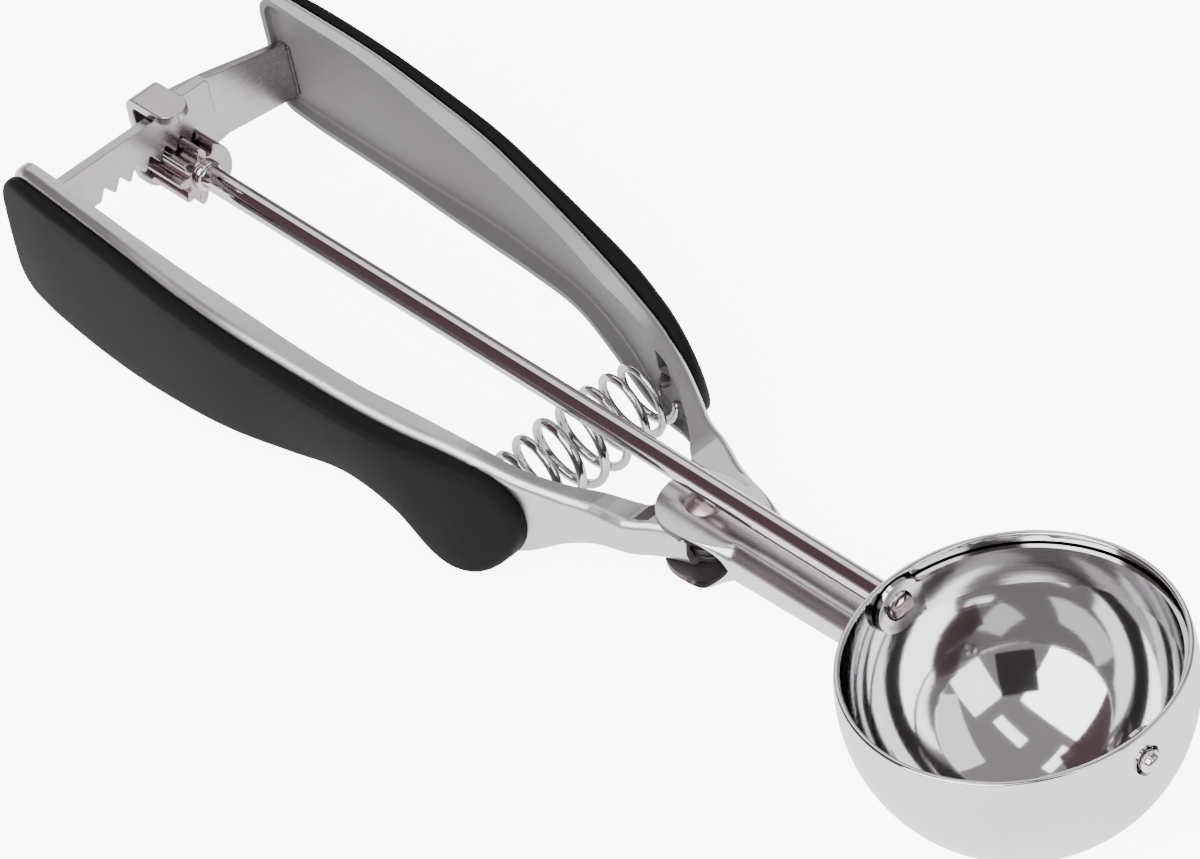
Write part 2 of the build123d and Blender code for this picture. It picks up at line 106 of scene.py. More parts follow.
def surface_group() -> bpy.types.NodeTree:
    """Shader group for worked metal and moulded plastic: fine lines, soft clouds and small marks.

    Returns:
        The node group, which puts out colour, roughness and height.
    """
    name = "worked_surface"
    if name in bpy.data.node_groups:
        return bpy.data.node_groups[name]
    tree = bpy.data.node_groups.new(name, "ShaderNodeTree")
    for label, kind, value in (
        ("Color", "NodeSocketColor", (0.6, 0.6, 0.6, 1.0)), ("Tint", "NodeSocketColor", (0.5, 0.4, 0.4, 1.0)),
        ("Tint Amount", "NodeSocketFloat", 0.2), ("Roughness", "NodeSocketFloat", 0.2),
        ("Spread", "NodeSocketFloat", 0.05), ("Line Scale", "NodeSocketVector", (1.0, 1.0, 1.0)),
        ("Cloud Scale", "NodeSocketFloat", 60.0), ("Mark Scale", "NodeSocketFloat", 900.0),
        ("Turn", "NodeSocketVector", (0.0, 0.0, 0.0)), ("Centre", "NodeSocketVector", (0.0, 0.0, 0.0)),
    ):
        tree.interface.new_socket(name=label, in_out="INPUT", socket_type=kind).default_value = value
    for label, kind in (("Color", "NodeSocketColor"), ("Roughness", "NodeSocketFloat"),
                        ("Height", "NodeSocketFloat")):
        tree.interface.new_socket(name=label, in_out="OUTPUT", socket_type=kind)

    def node(kind: str, operation: str = "") -> bpy.types.Node:
        """New node of the group.

        Args:
            kind: its type.
            operation: what it works out, where it has a choice.

        Returns:
            The node.
        """
        made = tree.nodes.new(kind)
        if operation:
            made.operation = operation
        return made

    given, result = node("NodeGroupInput"), node("NodeGroupOutput")
    place = node("ShaderNodeTexCoord").outputs["Object"]
    centred = node("ShaderNodeVectorMath", "SUBTRACT")
    stretch = node("ShaderNodeMapping")
    lines, cloud, marks = (node("ShaderNodeTexNoise") for _ in range(3))
    lines.inputs["Scale"].default_value = 1.0
    for noise, detail in ((lines, 3.0), (cloud, 3.0), (marks, 4.0)):
        noise.inputs["Detail"].default_value = detail
    tinted = node("ShaderNodeMix")
    tinted.data_type = "RGBA"
    share, swing = (node("ShaderNodeMath", "MULTIPLY") for _ in range(2))
    both, rough = (node("ShaderNodeMath", "ADD") for _ in range(2))
    rough.use_clamp = True
    centre = node("ShaderNodeMath", "SUBTRACT")
    mean_of_both = 1.0
    centre.inputs[1].default_value = mean_of_both
    high = node("ShaderNodeMath", "MULTIPLY_ADD")
    mark_height = 0.35
    high.inputs[1].default_value = mark_height
    mix_share, mix_plain, mix_tint, mix_out = 0, 6, 7, 2
    for source, target in (
        (place, centred.inputs[0]),
        (given.outputs["Centre"], centred.inputs[1]),
        (centred.outputs[0], stretch.inputs["Vector"]),
        (given.outputs["Turn"], stretch.inputs["Rotation"]),
        (given.outputs["Line Scale"], stretch.inputs["Scale"]),
        (stretch.outputs[0], lines.inputs["Vector"]),
        (place, cloud.inputs["Vector"]),
        (given.outputs["Cloud Scale"], cloud.inputs["Scale"]),
        (place, marks.inputs["Vector"]),
        (given.outputs["Mark Scale"], marks.inputs["Scale"]),
        (cloud.outputs["Fac"], share.inputs[0]),
        (given.outputs["Tint Amount"], share.inputs[1]),
        (share.outputs[0], tinted.inputs[mix_share]),
        (given.outputs["Color"], tinted.inputs[mix_plain]),
        (given.outputs["Tint"], tinted.inputs[mix_tint]),
        (lines.outputs["Fac"], both.inputs[0]),
        (cloud.outputs["Fac"], both.inputs[1]),
        (both.outputs[0], centre.inputs[0]),
        (centre.outputs[0], swing.inputs[0]),
        (given.outputs["Spread"], swing.inputs[1]),
        (swing.outputs[0], rough.inputs[0]),
        (given.outputs["Roughness"], rough.inputs[1]),
        (marks.outputs["Fac"], high.inputs[0]),
        (lines.outputs["Fac"], high.inputs[2]),
        (tinted.outputs[mix_out], result.inputs["Color"]),
        (rough.outputs[0], result.inputs["Roughness"]),
        (high.outputs[0], result.inputs["Height"]),
    ):
        tree.links.new(source, target)
    return tree


@dataclass(frozen=True)
class Finish:
    """A worked surface.

    Args:
        name: material name.
        color: base colour.
        tint: colour of the faint clouds.
        tint_amount: how much of the clouds shows.
        rough: mean roughness.
        spread: how much the roughness varies.
        lines: scale of the fine lines along the tool's X, Y and Z.
        relief: strength of the bump.
        depth: height of the bump in metres.
        metallic: 1 for metal, 0 for plastic, between them for the dull unpolished inside of the trays, whose
            dark colour is partly painted shade, and for the painted shade of folds and ears.
        specular: specular level.
        clouds: scale of the clouds.
        marks: scale of the small marks.
    """

    name: str
    color: tuple = (0.62, 0.62, 0.63)
    tint: tuple = (0.55, 0.5, 0.52)
    tint_amount: float = 0.3
    rough: float = 0.12
    spread: float = 0.06
    lines: tuple = (60.0, 900.0, 900.0)
    relief: float = 0.05
    depth: float = 0.0001
    metallic: float = 1.0
    specular: float = 0.5
    clouds: float = 60.0
    marks: float = 900.0

    def build(self) -> bpy.types.Material:
        """Builds the node material once.

        Returns:
            The material.
        """
        if self.name in bpy.data.materials:
            return bpy.data.materials[self.name]
        mat = bpy.data.materials.new(self.name)
        mat.use_nodes = True
        tree = mat.node_tree
        shader = tree.nodes["Principled BSDF"]
        shader.inputs["Metallic"].default_value = self.metallic
        shader.inputs["Specular IOR Level"].default_value = self.specular
        worked = tree.nodes.new("ShaderNodeGroup")
        worked.node_tree = surface_group()
        for label, value in (
            ("Color", (*self.color, 1.0)), ("Tint", (*self.tint, 1.0)), ("Tint Amount", self.tint_amount),
            ("Roughness", self.rough), ("Spread", self.spread), ("Line Scale", self.lines),
            ("Cloud Scale", self.clouds), ("Mark Scale", self.marks),
            ("Turn", (0.0, math.radians(TOOL.tilt_deg), 0.0)),
            ("Centre", (TOOL.origin_x * MM, 0.0, TOOL.origin_z * MM)),
        ):
            worked.inputs[label].default_value = value
        bump = tree.nodes.new("ShaderNodeBump")
        bump.inputs["Strength"].default_value = self.relief
        bump.inputs["Distance"].default_value = self.depth
        for source, target in (
            (worked.outputs["Color"], shader.inputs["Base Color"]),
            (worked.outputs["Roughness"], shader.inputs["Roughness"]),
            (worked.outputs["Height"], bump.inputs["Height"]),
            (bump.outputs["Normal"], shader.inputs["Normal"]),
        ):
            tree.links.new(source, target)
        return mat


BOWL_STEEL = Finish("bowl_steel", color=(0.66, 0.66, 0.67), rough=0.07, spread=0.05,
                    lines=(40.0, 40.0, 2500.0), relief=0.03)
BLADE_STEEL = Finish("blade_steel", color=(0.6, 0.59, 0.6), rough=0.12, spread=0.08,
                     lines=(40.0, 40.0, 2200.0), relief=0.06)
SHEET_STEEL = Finish("sheet_steel", color=(0.51, 0.51, 0.52), rough=0.3, spread=0.1, relief=0.06)
# Inside and cut edges of the handle trays: unpolished steel, and its dark colour is also painted shade for the
# channel's recess and a painted shadow line along the flange edge.
UNPOLISHED_SHADED_INSIDE = Finish("unpolished_inside_painted_shade", color=(0.19, 0.186, 0.19), tint=(0.15, 0.137, 0.146),
                     tint_amount=0.7, rough=0.6, spread=0.1, relief=0.15, metallic=0.35, specular=0.3,
                     clouds=45.0, marks=3000.0)
# Near-black steel: painted shade on the handles' ears, which sit between the clevis cheeks, and on the inside
# and cut edges of the stem's folded tube.
PAINTED_SHADE_STEEL = Finish("painted_shade_fold", color=(0.1, 0.085, 0.09), tint=(0.06, 0.05, 0.053), tint_amount=0.7,
                    rough=0.45, spread=0.1, relief=0.1, metallic=0.6, specular=0.3)
STEM_STEEL = Finish("stem_steel", color=(0.6, 0.6, 0.61), rough=0.21, spread=0.1)
PLATE_STEEL = Finish("ground_plate", color=(0.47, 0.46, 0.47), tint=(0.34, 0.29, 0.32), tint_amount=0.6,
                     rough=0.26, spread=0.12, lines=(200.0, 200.0, 2500.0), relief=0.1, clouds=160.0)
PINION_STEEL = Finish("pinion_steel", color=(0.48, 0.42, 0.42), tint=(0.32, 0.24, 0.25), tint_amount=0.7,
                      rough=0.16, spread=0.12, relief=0.08, clouds=300.0)
ROD_STEEL = Finish("bright_drawn_rod", color=(0.64, 0.6, 0.6), tint=(0.5, 0.42, 0.43), rough=0.03,
                   spread=0.03, relief=0.01)
RIVET_STEEL = Finish("headed_rivet", color=(0.5, 0.43, 0.43), tint=(0.3, 0.22, 0.22), tint_amount=0.7,
                     rough=0.3, spread=0.12, lines=(700.0, 700.0, 700.0), relief=0.15, clouds=400.0)
SPRING_STEEL = Finish("spring_wire", color=(0.52, 0.52, 0.53), rough=0.1, spread=0.06)
WELD_STEEL = Finish("weld_seam", color=(0.13, 0.11, 0.11), tint=(0.06, 0.045, 0.045), tint_amount=0.8,
                    rough=0.4, spread=0.2, relief=0.3, clouds=700.0)
GRIP_BLACK = Finish("grip_black", color=(0.006, 0.006, 0.0065), tint=(0.009, 0.009, 0.0095),
                    tint_amount=0.6, rough=0.6, spread=0.08, lines=(2600.0, 2600.0, 2600.0), relief=0.2,
                    depth=0.00005, metallic=0.0, specular=0.08, marks=2600.0)


@dataclass(frozen=True)
class Assignment:
    """Where a finished piece belongs.

    Args:
        body: body that carries it.
        finish: its surface.
        slot: the record's material slot; not used.
        nodes: CAD nodes that it stands for.
    """

    body: Body
    finish: Finish
    slot: str
    nodes: tuple = ()


def finished(bm: bmesh.types.BMesh, name: str, role: Assignment, wall: float = 0.0,
             bevel: float = 0.0, turns: int = 2, between: tuple = (),
             inside: Finish | None = None) -> bpy.types.Object:
    """Turns a bmesh in tool millimetres into a piece of the object.

    Args:
        bm: the mesh, which is used up.
        name: name of the piece.
        role: where it belongs.
        wall: sheet thickness that is added inwards, in millimetres.
        bevel: width of the broken edges in millimetres.
        turns: segments of each broken edge.
        between: start and end, in tool millimetres, of a piece that spans the lever and the frame; only
            whether it is given is read, and such a piece is left on neither body.
        inside: finish of the inner side of the wall, where it differs.

    Returns:
        The finished object.
    """
    matrix = TOOL.matrix()
    bmesh.ops.transform(bm, matrix=matrix, verts=bm.verts)
    mesh = bpy.data.meshes.new(name)
    bm.to_mesh(mesh)
    bm.free()
    mesh.shade_smooth()
    mesh.materials.append(role.finish.build())
    obj = bpy.data.objects.new(name, mesh)
    bpy.context.scene.collection.objects.link(obj)
    if wall:
        thick = obj.modifiers.new("wall", "SOLIDIFY")
        thick.thickness, thick.offset, thick.use_even_offset = wall * MM, -1.0, True
        # The inner side and the cut edges get the inside finish; the handles and the stem pass darker finishes
        # that carry painted shade.
        if inside:
            mesh.materials.append(inside.build())
            thick.material_offset = thick.material_offset_rim = 1
    if bevel:
        soft = obj.modifiers.new("edges", "BEVEL")
        soft.width, soft.segments, soft.profile = bevel * MM, turns, 0.5
        soft.limit_method, soft.angle_limit = "ANGLE", math.radians(SHARP_DEG)
        obj.modifiers.new("shading", "WEIGHTED_NORMAL").keep_sharp = True
    if role.nodes:
        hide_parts(*role.nodes)
    if between:
        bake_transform(obj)
    else:
        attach(obj, role.body.value)
    log.info("piece %s on %s", name, role.body.value)
    return obj


def station(rows: tuple, x: float) -> list[float]:
    """Smooth values of a table of stations at one place.

    Args:
        rows: stations, each a place along X and its values.
        x: the place.

    Returns:
        The values, without the place.
    """
    last = len(rows) - 2
    k = next((i for i in range(last) if x < rows[i + 1][0]), last)
    one, two = rows[k], rows[k + 1]
    span = two[0] - one[0]
    t = min(max((x - one[0]) / span, 0.0), 1.0)

    def slope(i: int, column: int) -> float:
        """Slope of a column at station i, from its neighbours."""
        low, high = rows[max(i - 1, 0)], rows[min(i + 1, len(rows) - 1)]
        return (high[column] - low[column]) / (high[0] - low[0])

    values = []
    for column in range(1, len(one)):
        a, b = one[column], two[column]
        ma, mb = slope(k, column) * span, slope(k + 1, column) * span
        values.append((2 * t**3 - 3 * t**2 + 1) * a + (t**3 - 2 * t**2 + t) * ma
                      + (3 * t**2 - 2 * t**3) * b + (t**3 - t**2) * mb)
    return values


def eased(share: float) -> float:
    """Share of 0 to 1 that starts and ends gently."""
    return share * share * (3 - 2 * share)


def chain(bm: bmesh.types.BMesh, points: list, closed: bool = False) -> list:
    """Draws edges through points.

    Args:
        bm: the mesh.
        points: the places.
        closed: whether the last joins the first.

    Returns:
        The edges.
    """
    verts = [bm.verts.new(p) for p in points]
    ahead = verts[1:] + (verts[:1] if closed else [])
    return [bm.edges.new(pair) for pair in zip(verts, ahead)]


def skin(bm: bmesh.types.BMesh, rows: list, closed: bool = False) -> None:
    """Bridges rows of points into a surface.

    Args:
        bm: the mesh.
        rows: rows of points, in order.
        closed: whether the rows are rings.
    """
    before = chain(bm, rows[0], closed)
    for row in rows[1:]:
        after = chain(bm, row, closed)
        bmesh.ops.bridge_loops(bm, edges=before + after)
        before = after


def lathe(bm: bmesh.types.BMesh, profile: list, axis: tuple, centre: tuple = (0.0, 0.0, 0.0),
          steps: int = 48) -> None:
    """Spins a profile into a closed round solid.

    Args:
        bm: the mesh.
        profile: points from one end on the axis to the other.
        axis: direction of the axis.
        centre: point on the axis.
        steps: divisions of the turn.
    """
    edges = chain(bm, profile)
    verts = list({v for e in edges for v in e.verts})
    bmesh.ops.spin(bm, geom=verts + edges, cent=centre, axis=axis, angle=FULL_TURN, steps=steps,
                   use_merge=True)
    bmesh.ops.remove_doubles(bm, verts=bm.verts, dist=MERGE_MM)
    bmesh.ops.recalc_face_normals(bm, faces=bm.faces)


def slab(bm: bmesh.types.BMesh, outline: list, thickness: Vector) -> None:
    """Extrudes a flat outline.

    Args:
        bm: the mesh.
        outline: the points of the near side.
        thickness: the move to the far side.
    """
    face = bm.faces.new([bm.verts.new(p) for p in outline])
    grown = bmesh.ops.extrude_face_region(bm, geom=[face], use_keep_orig=True)["geom"]
    far = [v for v in grown if isinstance(v, bmesh.types.BMVert)]
    bmesh.ops.translate(bm, vec=thickness, verts=far)
    bmesh.ops.recalc_face_normals(bm, faces=bm.faces)


def cut(bm: bmesh.types.BMesh, axis: int, places: list) -> None:
    """Cuts the whole mesh by planes.

    Args:
        bm: the mesh.
        axis: 0, 1 or 2 for X, Y or Z.
        places: where the planes lie along the axis.
    """
    normal = [0.0, 0.0, 0.0]
    normal[axis] = 1.0
    for place in places:
        spot = [0.0, 0.0, 0.0]
        spot[axis] = place
        bmesh.ops.bisect_plane(bm, geom=bm.verts[:] + bm.edges[:] + bm.faces[:], dist=CUT_MM,
                               plane_co=spot, plane_no=normal)


def arc(radius: float, start: float, end: float, steps: int, centre: tuple = (0.0, 0.0)) -> list:
    """Points of an arc.

    Args:
        radius: its radius.
        start, end: its angles in degrees.
        steps: its divisions.
        centre: its centre.

    Returns:
        The points as pairs.
    """
    angles = [math.radians(start + (end - start) * k / steps) for k in range(steps + 1)]
    return [(centre[0] + radius * math.cos(a), centre[1] + radius * math.sin(a)) for a in angles]


@dataclass(frozen=True)
class SideShape:
    """An outline seen from the side, between a top and a bottom line, with rounded corners.

    Args:
        rear, front: ends along X.
        radii: corner radii: rear top, rear bottom, front top, front bottom; 0 leaves a corner sharp.
        step: spacing of the points.
        corner_steps: divisions of a corner.
    """

    rear: float
    front: float
    radii: tuple
    step: float = 1.5
    corner_steps: int = 8

    def corner(self, end: float, inwards: int, line: Line, up: int, radius: float) -> list:
        """Points of one corner, from its line to the end.

        Args:
            end: place of the end along X.
            inwards: 1 or -1, towards the middle of the shape.
            line: height of the top or bottom line at a place.
            up: 1 at the top, -1 at the bottom.
            radius: corner radius.

        Returns:
            The points.
        """
        if radius == 0.0:
            return [(end, 0.0, line(end))]
        points = []
        for k in range(self.corner_steps + 1):
            turn = QUARTER * (1 - k / self.corner_steps)
            x = end + inwards * radius * (1 - math.cos(turn))
            points.append((x, 0.0, line(x) - up * radius * (1 - math.sin(turn))))
        return points

    def run(self, rear_r: float, front_r: float, line: Line) -> list:
        """Points of a line between its corners.

        Args:
            rear_r, front_r: radii of the corners at its ends.
            line: its height at a place.

        Returns:
            The points, without the ends.
        """
        start, end = self.rear + rear_r, self.front - front_r
        count = max(int((end - start) / self.step), 2)
        places = [start + (end - start) * k / count for k in range(1, count)]
        return [(x, 0.0, line(x)) for x in places]

    def points(self, top: Line, bottom: Line) -> list:
        """Whole outline.

        Args:
            top, bottom: heights of the two lines at a place.

        Returns:
            The points in order.
        """
        rt, rb, ft, fb = self.radii
        return (self.corner(self.front, -1, top, 1, ft)[::-1] + self.run(rt, ft, top)[::-1]
                + self.corner(self.rear, 1, top, 1, rt) + self.corner(self.rear, 1, bottom, -1, rb)[::-1]
                + self.run(rb, fb, bottom) + self.corner(self.front, -1, bottom, -1, fb))


def relief(outline: list, edge_r: float, steps: int, cuts_x: list, cuts_z: list) -> tuple:
    """Flat shape with rings for a rounded edge, cut finely enough to be laid on a curved web.

    Args:
        outline: points in X and Z.
        edge_r: radius of the rounded edge.
        steps: rings of the rounding.
        cuts_x, cuts_z: places of the cuts.

    Returns:
        The bmesh, and the layer that says how far each vertex rises over the outline's edge.
    """
    bm = bmesh.new()
    rise = bm.verts.layers.float.new("rise")
    face = bm.faces.new([bm.verts.new(p) for p in outline])
    bm.normal_update()
    gone = 0.0
    for step in range(1, steps + 1):
        turn = QUARTER * step / steps
        inwards = edge_r * (1 - math.cos(turn))
        bmesh.ops.inset_region(bm, faces=[face], thickness=inwards - gone, use_boundary=True,
                               use_even_offset=True)
        gone = inwards
        for vert in face.verts:
            vert[rise] = edge_r * math.sin(turn)
    cut(bm, 0, cuts_x)
    cut(bm, 2, cuts_z)
    return bm, rise


@dataclass(frozen=True)
class Measures:
    """Sizes that more than one piece needs, in millimetres.

    Args:
        sheet: thickness of the pressed sheet.
        pivot_x: place of the pivot rivet.
        stem_top, clevis_bottom: outside levels of the two cheeks of the clevis.
        rod_r: radius of the rod.
        rack_x: middle of the rack's thickness.
        rack_sheet: thickness of the rack.
        plate_front: front face of the guide plate.
        plate_sheet: thickness of the guide plate.
        pinion_front: front face of the pinion.
        spring_x, spring_z: axis of the spring.
        stations: along both handles: place, outside of the web, edge of the rims, top and bottom.
    """

    sheet: float = 1.2
    pivot_x: float = -67.5
    stem_top: float = -4.0
    clevis_bottom: float = -14.0
    rod_r: float = 2.0
    rack_x: float = -191.0
    rack_sheet: float = 2.0
    plate_front: float = -195.0
    plate_sheet: float = 1.8
    pinion_front: float = -185.3
    spring_x: float = -98.0
    spring_z: float = -9.9
    stations: tuple = (
        (-198.2, 27.7, 25.0, 15.4, -8.6), (-188.0, 28.1, 24.9, 14.8, -9.6), (-172.0, 28.5, 25.1, 13.6, -10.8),
        (-157.0, 28.5, 24.4, 11.3, -11.1), (-145.0, 28.0, 23.6, 9.6, -10.8), (-133.0, 26.6, 22.6, 7.5, -10.1),
        (-121.0, 24.9, 21.1, 5.4, -9.7), (-111.0, 23.1, 19.1, 3.9, -12.2), (-104.0, 21.5, 18.0, 3.1, -16.0),
        (-98.0, 20.1, 16.9, 2.1, -17.2), (-91.0, 18.0, 15.0, 0.1, -15.2), (-85.0, 15.4, 12.0, -1.6, -12.2),
        (-80.0, 13.0, 8.6, -3.0, -11.2),
    )

    def web(self, x: float) -> float:
        """Distance of a handle's outside from the middle at a place along X."""
        return station(self.stations, x)[0]


SIZES = Measures()
LEVER_NECK = ((-75.5, 10.5, 5.0, -5.5, -12.5), (-72.5, 8.6, 3.0, -5.5, -12.5),
              (-69.5, 7.2, 2.0, -5.5, -12.5), (-66.0, 6.1, 1.4, -5.5, -12.5), (-62.0, 5.6, 1.2, -5.5, -12.5))
FIXED_NECK = ((-76.5, 12.3, 5.4, -3.95, -12.2), (-73.0, 10.9, 5.2, -3.97, -13.3),
              (-70.0, 9.6, 6.0, -3.97, -14.0), (-67.0, 8.7, 6.4, -3.97, -14.0),
              (-64.0, 8.0, 5.9, -3.97, -13.6), (-60.0, 7.4, 5.4, -3.97, -12.6))


@dataclass
class Handle:
    """Pressed sheet handle: a tray with a wrapped rim that narrows to a neck with two ears.

    Args:
        side: which handle.
        ear_top, ear_bottom: outside levels of its two ears.
        necks: stations of its neck, beyond those that both handles share.
        neck_end: where the neck is cut off.
        edge_r: rounding between web and rim.
        edge_steps: rings of that rounding.
        rear_radii: corner radii at the rear, top and bottom.
        cut_step: spacing of the cuts along X.
        cuts_z: levels of the cuts along the handle.
        ear_r: radius of the ears.
        ear_steps: divisions of an ear's half turn.
        ear_gap: play between an ear and its neighbours.
        ear_roots: corners of an ear in the neck, without side.
        neck_angle: direction of the neck at the ear in degrees.
        slot_half: half length of the slot that the tongue leaves.
        slot_low, slot_high: its levels above the spring's axis.
        tongue: width, length and thickness of the tongue.
        flank_r: radius of the tongue's hollow flanks.
        flank_steps: divisions of a flank.
    """

    side: Side
    ear_top: float
    ear_bottom: float
    necks: tuple
    neck_end: float = -66.0
    edge_r: float = 1.7
    edge_steps: int = 5
    rear_radii: tuple = (5.0, 3.0)
    cut_step: float = 2.0
    cuts_z: tuple = (-3.0, 1.0, 6.0, 10.0)
    ear_r: float = 4.6
    ear_steps: int = 20
    ear_gap: float = 0.03
    ear_roots: tuple = ((-75.5, 5.2), (-75.5, 8.9), (-72.6, 7.2))
    neck_angle: float = 140.0
    slot_half: float = 2.0
    slot_low: float = 0.6
    slot_high: float = 4.6
    tongue: tuple = (3.4, 5.0, 1.2)
    flank_r: float = 1.3
    flank_steps: int = 4

    def rows(self) -> tuple:
        """Returns: the stations, with those of this handle's neck."""
        return SIZES.stations + self.necks

    def role(self) -> Assignment:
        """Returns: body, finish and node of this handle."""
        body = Body.FRAME if self.side is Side.FIXED else Body.LEVER
        return Assignment(body, SHEET_STEEL, "steel", (f"{self.side.name.lower()}_handle",))

    def tray(self) -> bmesh.types.BMesh:
        """Outer skin of the pressed tray.

        Returns:
            The mesh.
        """
        rows, y = self.rows(), self.side.value
        shape = SideShape(rows[0][0], rows[-1][0], (*self.rear_radii, 0.0, 0.0))
        outline = shape.points(lambda x: station(rows, x)[2], lambda x: station(rows, x)[3])
        slot_x = (SIZES.spring_x - self.slot_half, SIZES.spring_x + self.slot_half)
        slot_z = (SIZES.spring_z + self.slot_low, SIZES.spring_z + self.slot_high)
        places = [rows[0][0] + self.cut_step * k for k in range(1, 64)] + list(slot_x)
        bm, rise = relief(outline, self.edge_r, self.edge_steps, places, [*slot_z, *self.cuts_z])
        hole = [f for f in bm.faces if slot_x[0] < f.calc_center_median().x < slot_x[1]
                and slot_z[0] < f.calc_center_median().z < slot_z[1]]
        rim = [e for e in bm.edges if e.is_boundary]
        for vert in bm.verts:
            vert.co.y = y * (station(rows, vert.co.x)[0] - self.edge_r + vert[rise])
        grown = bmesh.ops.extrude_edge_only(bm, edges=rim)["geom"]
        for vert in (v for v in grown if isinstance(v, bmesh.types.BMVert)):
            vert.co.y = y * station(rows, vert.co.x)[1]
        bmesh.ops.delete(bm, geom=hole, context="FACES")
        bmesh.ops.bisect_plane(bm, geom=bm.verts[:] + bm.edges[:] + bm.faces[:], dist=CUT_MM,
                               plane_co=(self.neck_end, 0, 0), plane_no=(1, 0, 0), clear_outer=True)
        bmesh.ops.recalc_face_normals(bm, faces=bm.faces)
        bm.faces.ensure_lookup_table()
        widest = max(bm.faces, key=lambda f: abs(f.calc_center_median().y))
        if widest.normal.y * y < 0:
            bmesh.ops.reverse_faces(bm, faces=bm.faces)
        return bm

    def ears(self) -> bmesh.types.BMesh:
        """Two flat ears round the rivet.

        Returns:
            The mesh.
        """
        bm = bmesh.new()
        y = self.side.value
        start = self.neck_angle - 90.0
        disc = arc(self.ear_r, start, start - 180.0, self.ear_steps, (SIZES.pivot_x, 0.0))
        for level in (self.ear_top - SIZES.sheet + self.ear_gap, self.ear_bottom + self.ear_gap):
            outline = [(px, y * py, level) for px, py in (*disc, *self.ear_roots)]
            slab(bm, outline, Vector((0.0, 0.0, SIZES.sheet - 2 * self.ear_gap)))
        return bm

    def hook(self) -> bmesh.types.BMesh:
        """Tongue that is pressed out of the web into the spring.

        Returns:
            The mesh.
        """
        y, (wide, long, thick) = self.side.value, self.tongue
        web = SIZES.web(SIZES.spring_x) - SIZES.sheet / 2
        flank = [(wide / 2 - self.flank_r + px, long - self.flank_r - py)
                 for py, px in arc(self.flank_r, 0.0, 90.0, self.flank_steps)]
        outline = [(-wide / 2, 0.0), (wide / 2, 0.0)] + flank + [(-px, py) for px, py in flank[::-1]]
        bm = bmesh.new()
        slab(bm, [(SIZES.spring_x + px, y * (web - py), SIZES.spring_z - thick / 2) for px, py in outline],
             Vector((0.0, 0.0, thick)))
        return bm

    def build(self) -> None:
        """Builds the tray, the ears and the tongue."""
        name = f"{self.side.name.lower()}_handle"
        role = self.role()
        # The tray's inner side and edges take the darker inside finish: unpolished steel with painted shade in
        # the channel.
        finished(self.tray(), f"{name}_tray", role, wall=SIZES.sheet, bevel=0.3, inside=UNPOLISHED_SHADED_INSIDE)
        # The ears are painted near-black as shade between the clevis cheeks.
        finished(self.ears(), f"{name}_ears", Assignment(role.body, PAINTED_SHADE_STEEL, role.slot), bevel=0.2)
        finished(self.hook(), f"{name}_tongue", Assignment(role.body, role.finish, role.slot), bevel=0.25)


@dataclass
class Grip:
    """Moulded cover of a handle, with a soft edge all round and a slightly crowned face.

    Args:
        side: which handle it covers.
        gap: space between the web and the cover.
        edge_r: rounding of its edge.
        edge_steps: rings of that rounding.
        crown: how far its face swells.
        rear, front: its ends.
        radii: its corner radii.
        step: spacing of its outline.
        cut_step: spacing of the cuts along X.
        cuts_z: levels of the cuts along it.
        rows: stations: place, upper and lower thickness, and how far its top and its bottom lie under
            those of the handle.
    """

    side: Side
    gap: float = 0.15
    edge_r: float = 1.1
    edge_steps: int = 5
    crown: float = 0.4
    rear: float = -198.7
    front: float = -89.8
    radii: tuple = (5.5, 4.5, 5.5, 7.5)
    step: float = 1.2
    cut_step: float = 1.8
    cuts_z: tuple = (-14.0, -11.0, -8.0, -4.5, -1.0, 2.5, 6.0, 9.5, 12.5)
    rows: tuple = (
        (-198.7, 1.6, 2.2, 1.0, 0.4), (-188.0, 2.2, 3.0, 1.0, 0.7), (-172.0, 2.2, 3.2, 1.0, 0.8),
        (-157.0, 2.4, 3.2, 1.0, 0.2), (-145.0, 2.5, 2.9, 1.0, 0.0), (-133.0, 2.7, 2.5, 1.0, -0.3),
        (-121.0, 2.9, 2.7, 1.0, -1.3), (-111.0, 3.1, 3.6, 1.0, -0.9), (-104.0, 2.9, 4.7, 1.0, 0.8),
        (-98.0, 2.5, 5.1, 1.0, 0.6), (-89.8, 1.8, 3.0, 1.0, 1.2),
    )

    def top(self, x: float) -> float:
        """Height of the top edge at a place along X."""
        return station(SIZES.stations, x)[2] - station(self.rows, x)[2]

    def bottom(self, x: float) -> float:
        """Height of the bottom edge at a place along X."""
        return station(SIZES.stations, x)[3] - station(self.rows, x)[3]

    def build(self) -> None:
        """Builds the cover."""
        y = self.side.value
        outline = SideShape(self.rear, self.front, self.radii, self.step).points(self.top, self.bottom)
        places = [self.rear + self.cut_step * k for k in range(1, 61)]
        bm, rise = relief(outline, self.edge_r, self.edge_steps, places, list(self.cuts_z))
        back = bm.verts[:]
        grown = bmesh.ops.extrude_face_region(bm, geom=bm.faces[:], use_keep_orig=True)["geom"]
        face = [v for v in grown if isinstance(v, bmesh.types.BMVert)]
        for vert in face:
            x, z = vert.co.x, vert.co.z
            upper, lower = station(self.rows, x)[:2]
            share = min(max((self.top(x) - z) / (self.top(x) - self.bottom(x)), 0.0), 1.0)
            thick = upper + (lower - upper) * share + self.crown * 4 * share * (1 - share)
            vert.co.y = y * (SIZES.web(x) + self.gap + thick - self.edge_r + vert[rise])
        for vert in back:
            vert.co.y = y * (SIZES.web(vert.co.x) + self.gap)
        bmesh.ops.recalc_face_normals(bm, faces=bm.faces)
        body = Body.FRAME if self.side is Side.FIXED else Body.LEVER
        name = f"{self.side.name.lower()}_grip"
        finished(bm, f"{name}_cover", Assignment(body, GRIP_BLACK, "grip_plastic", (name,)))


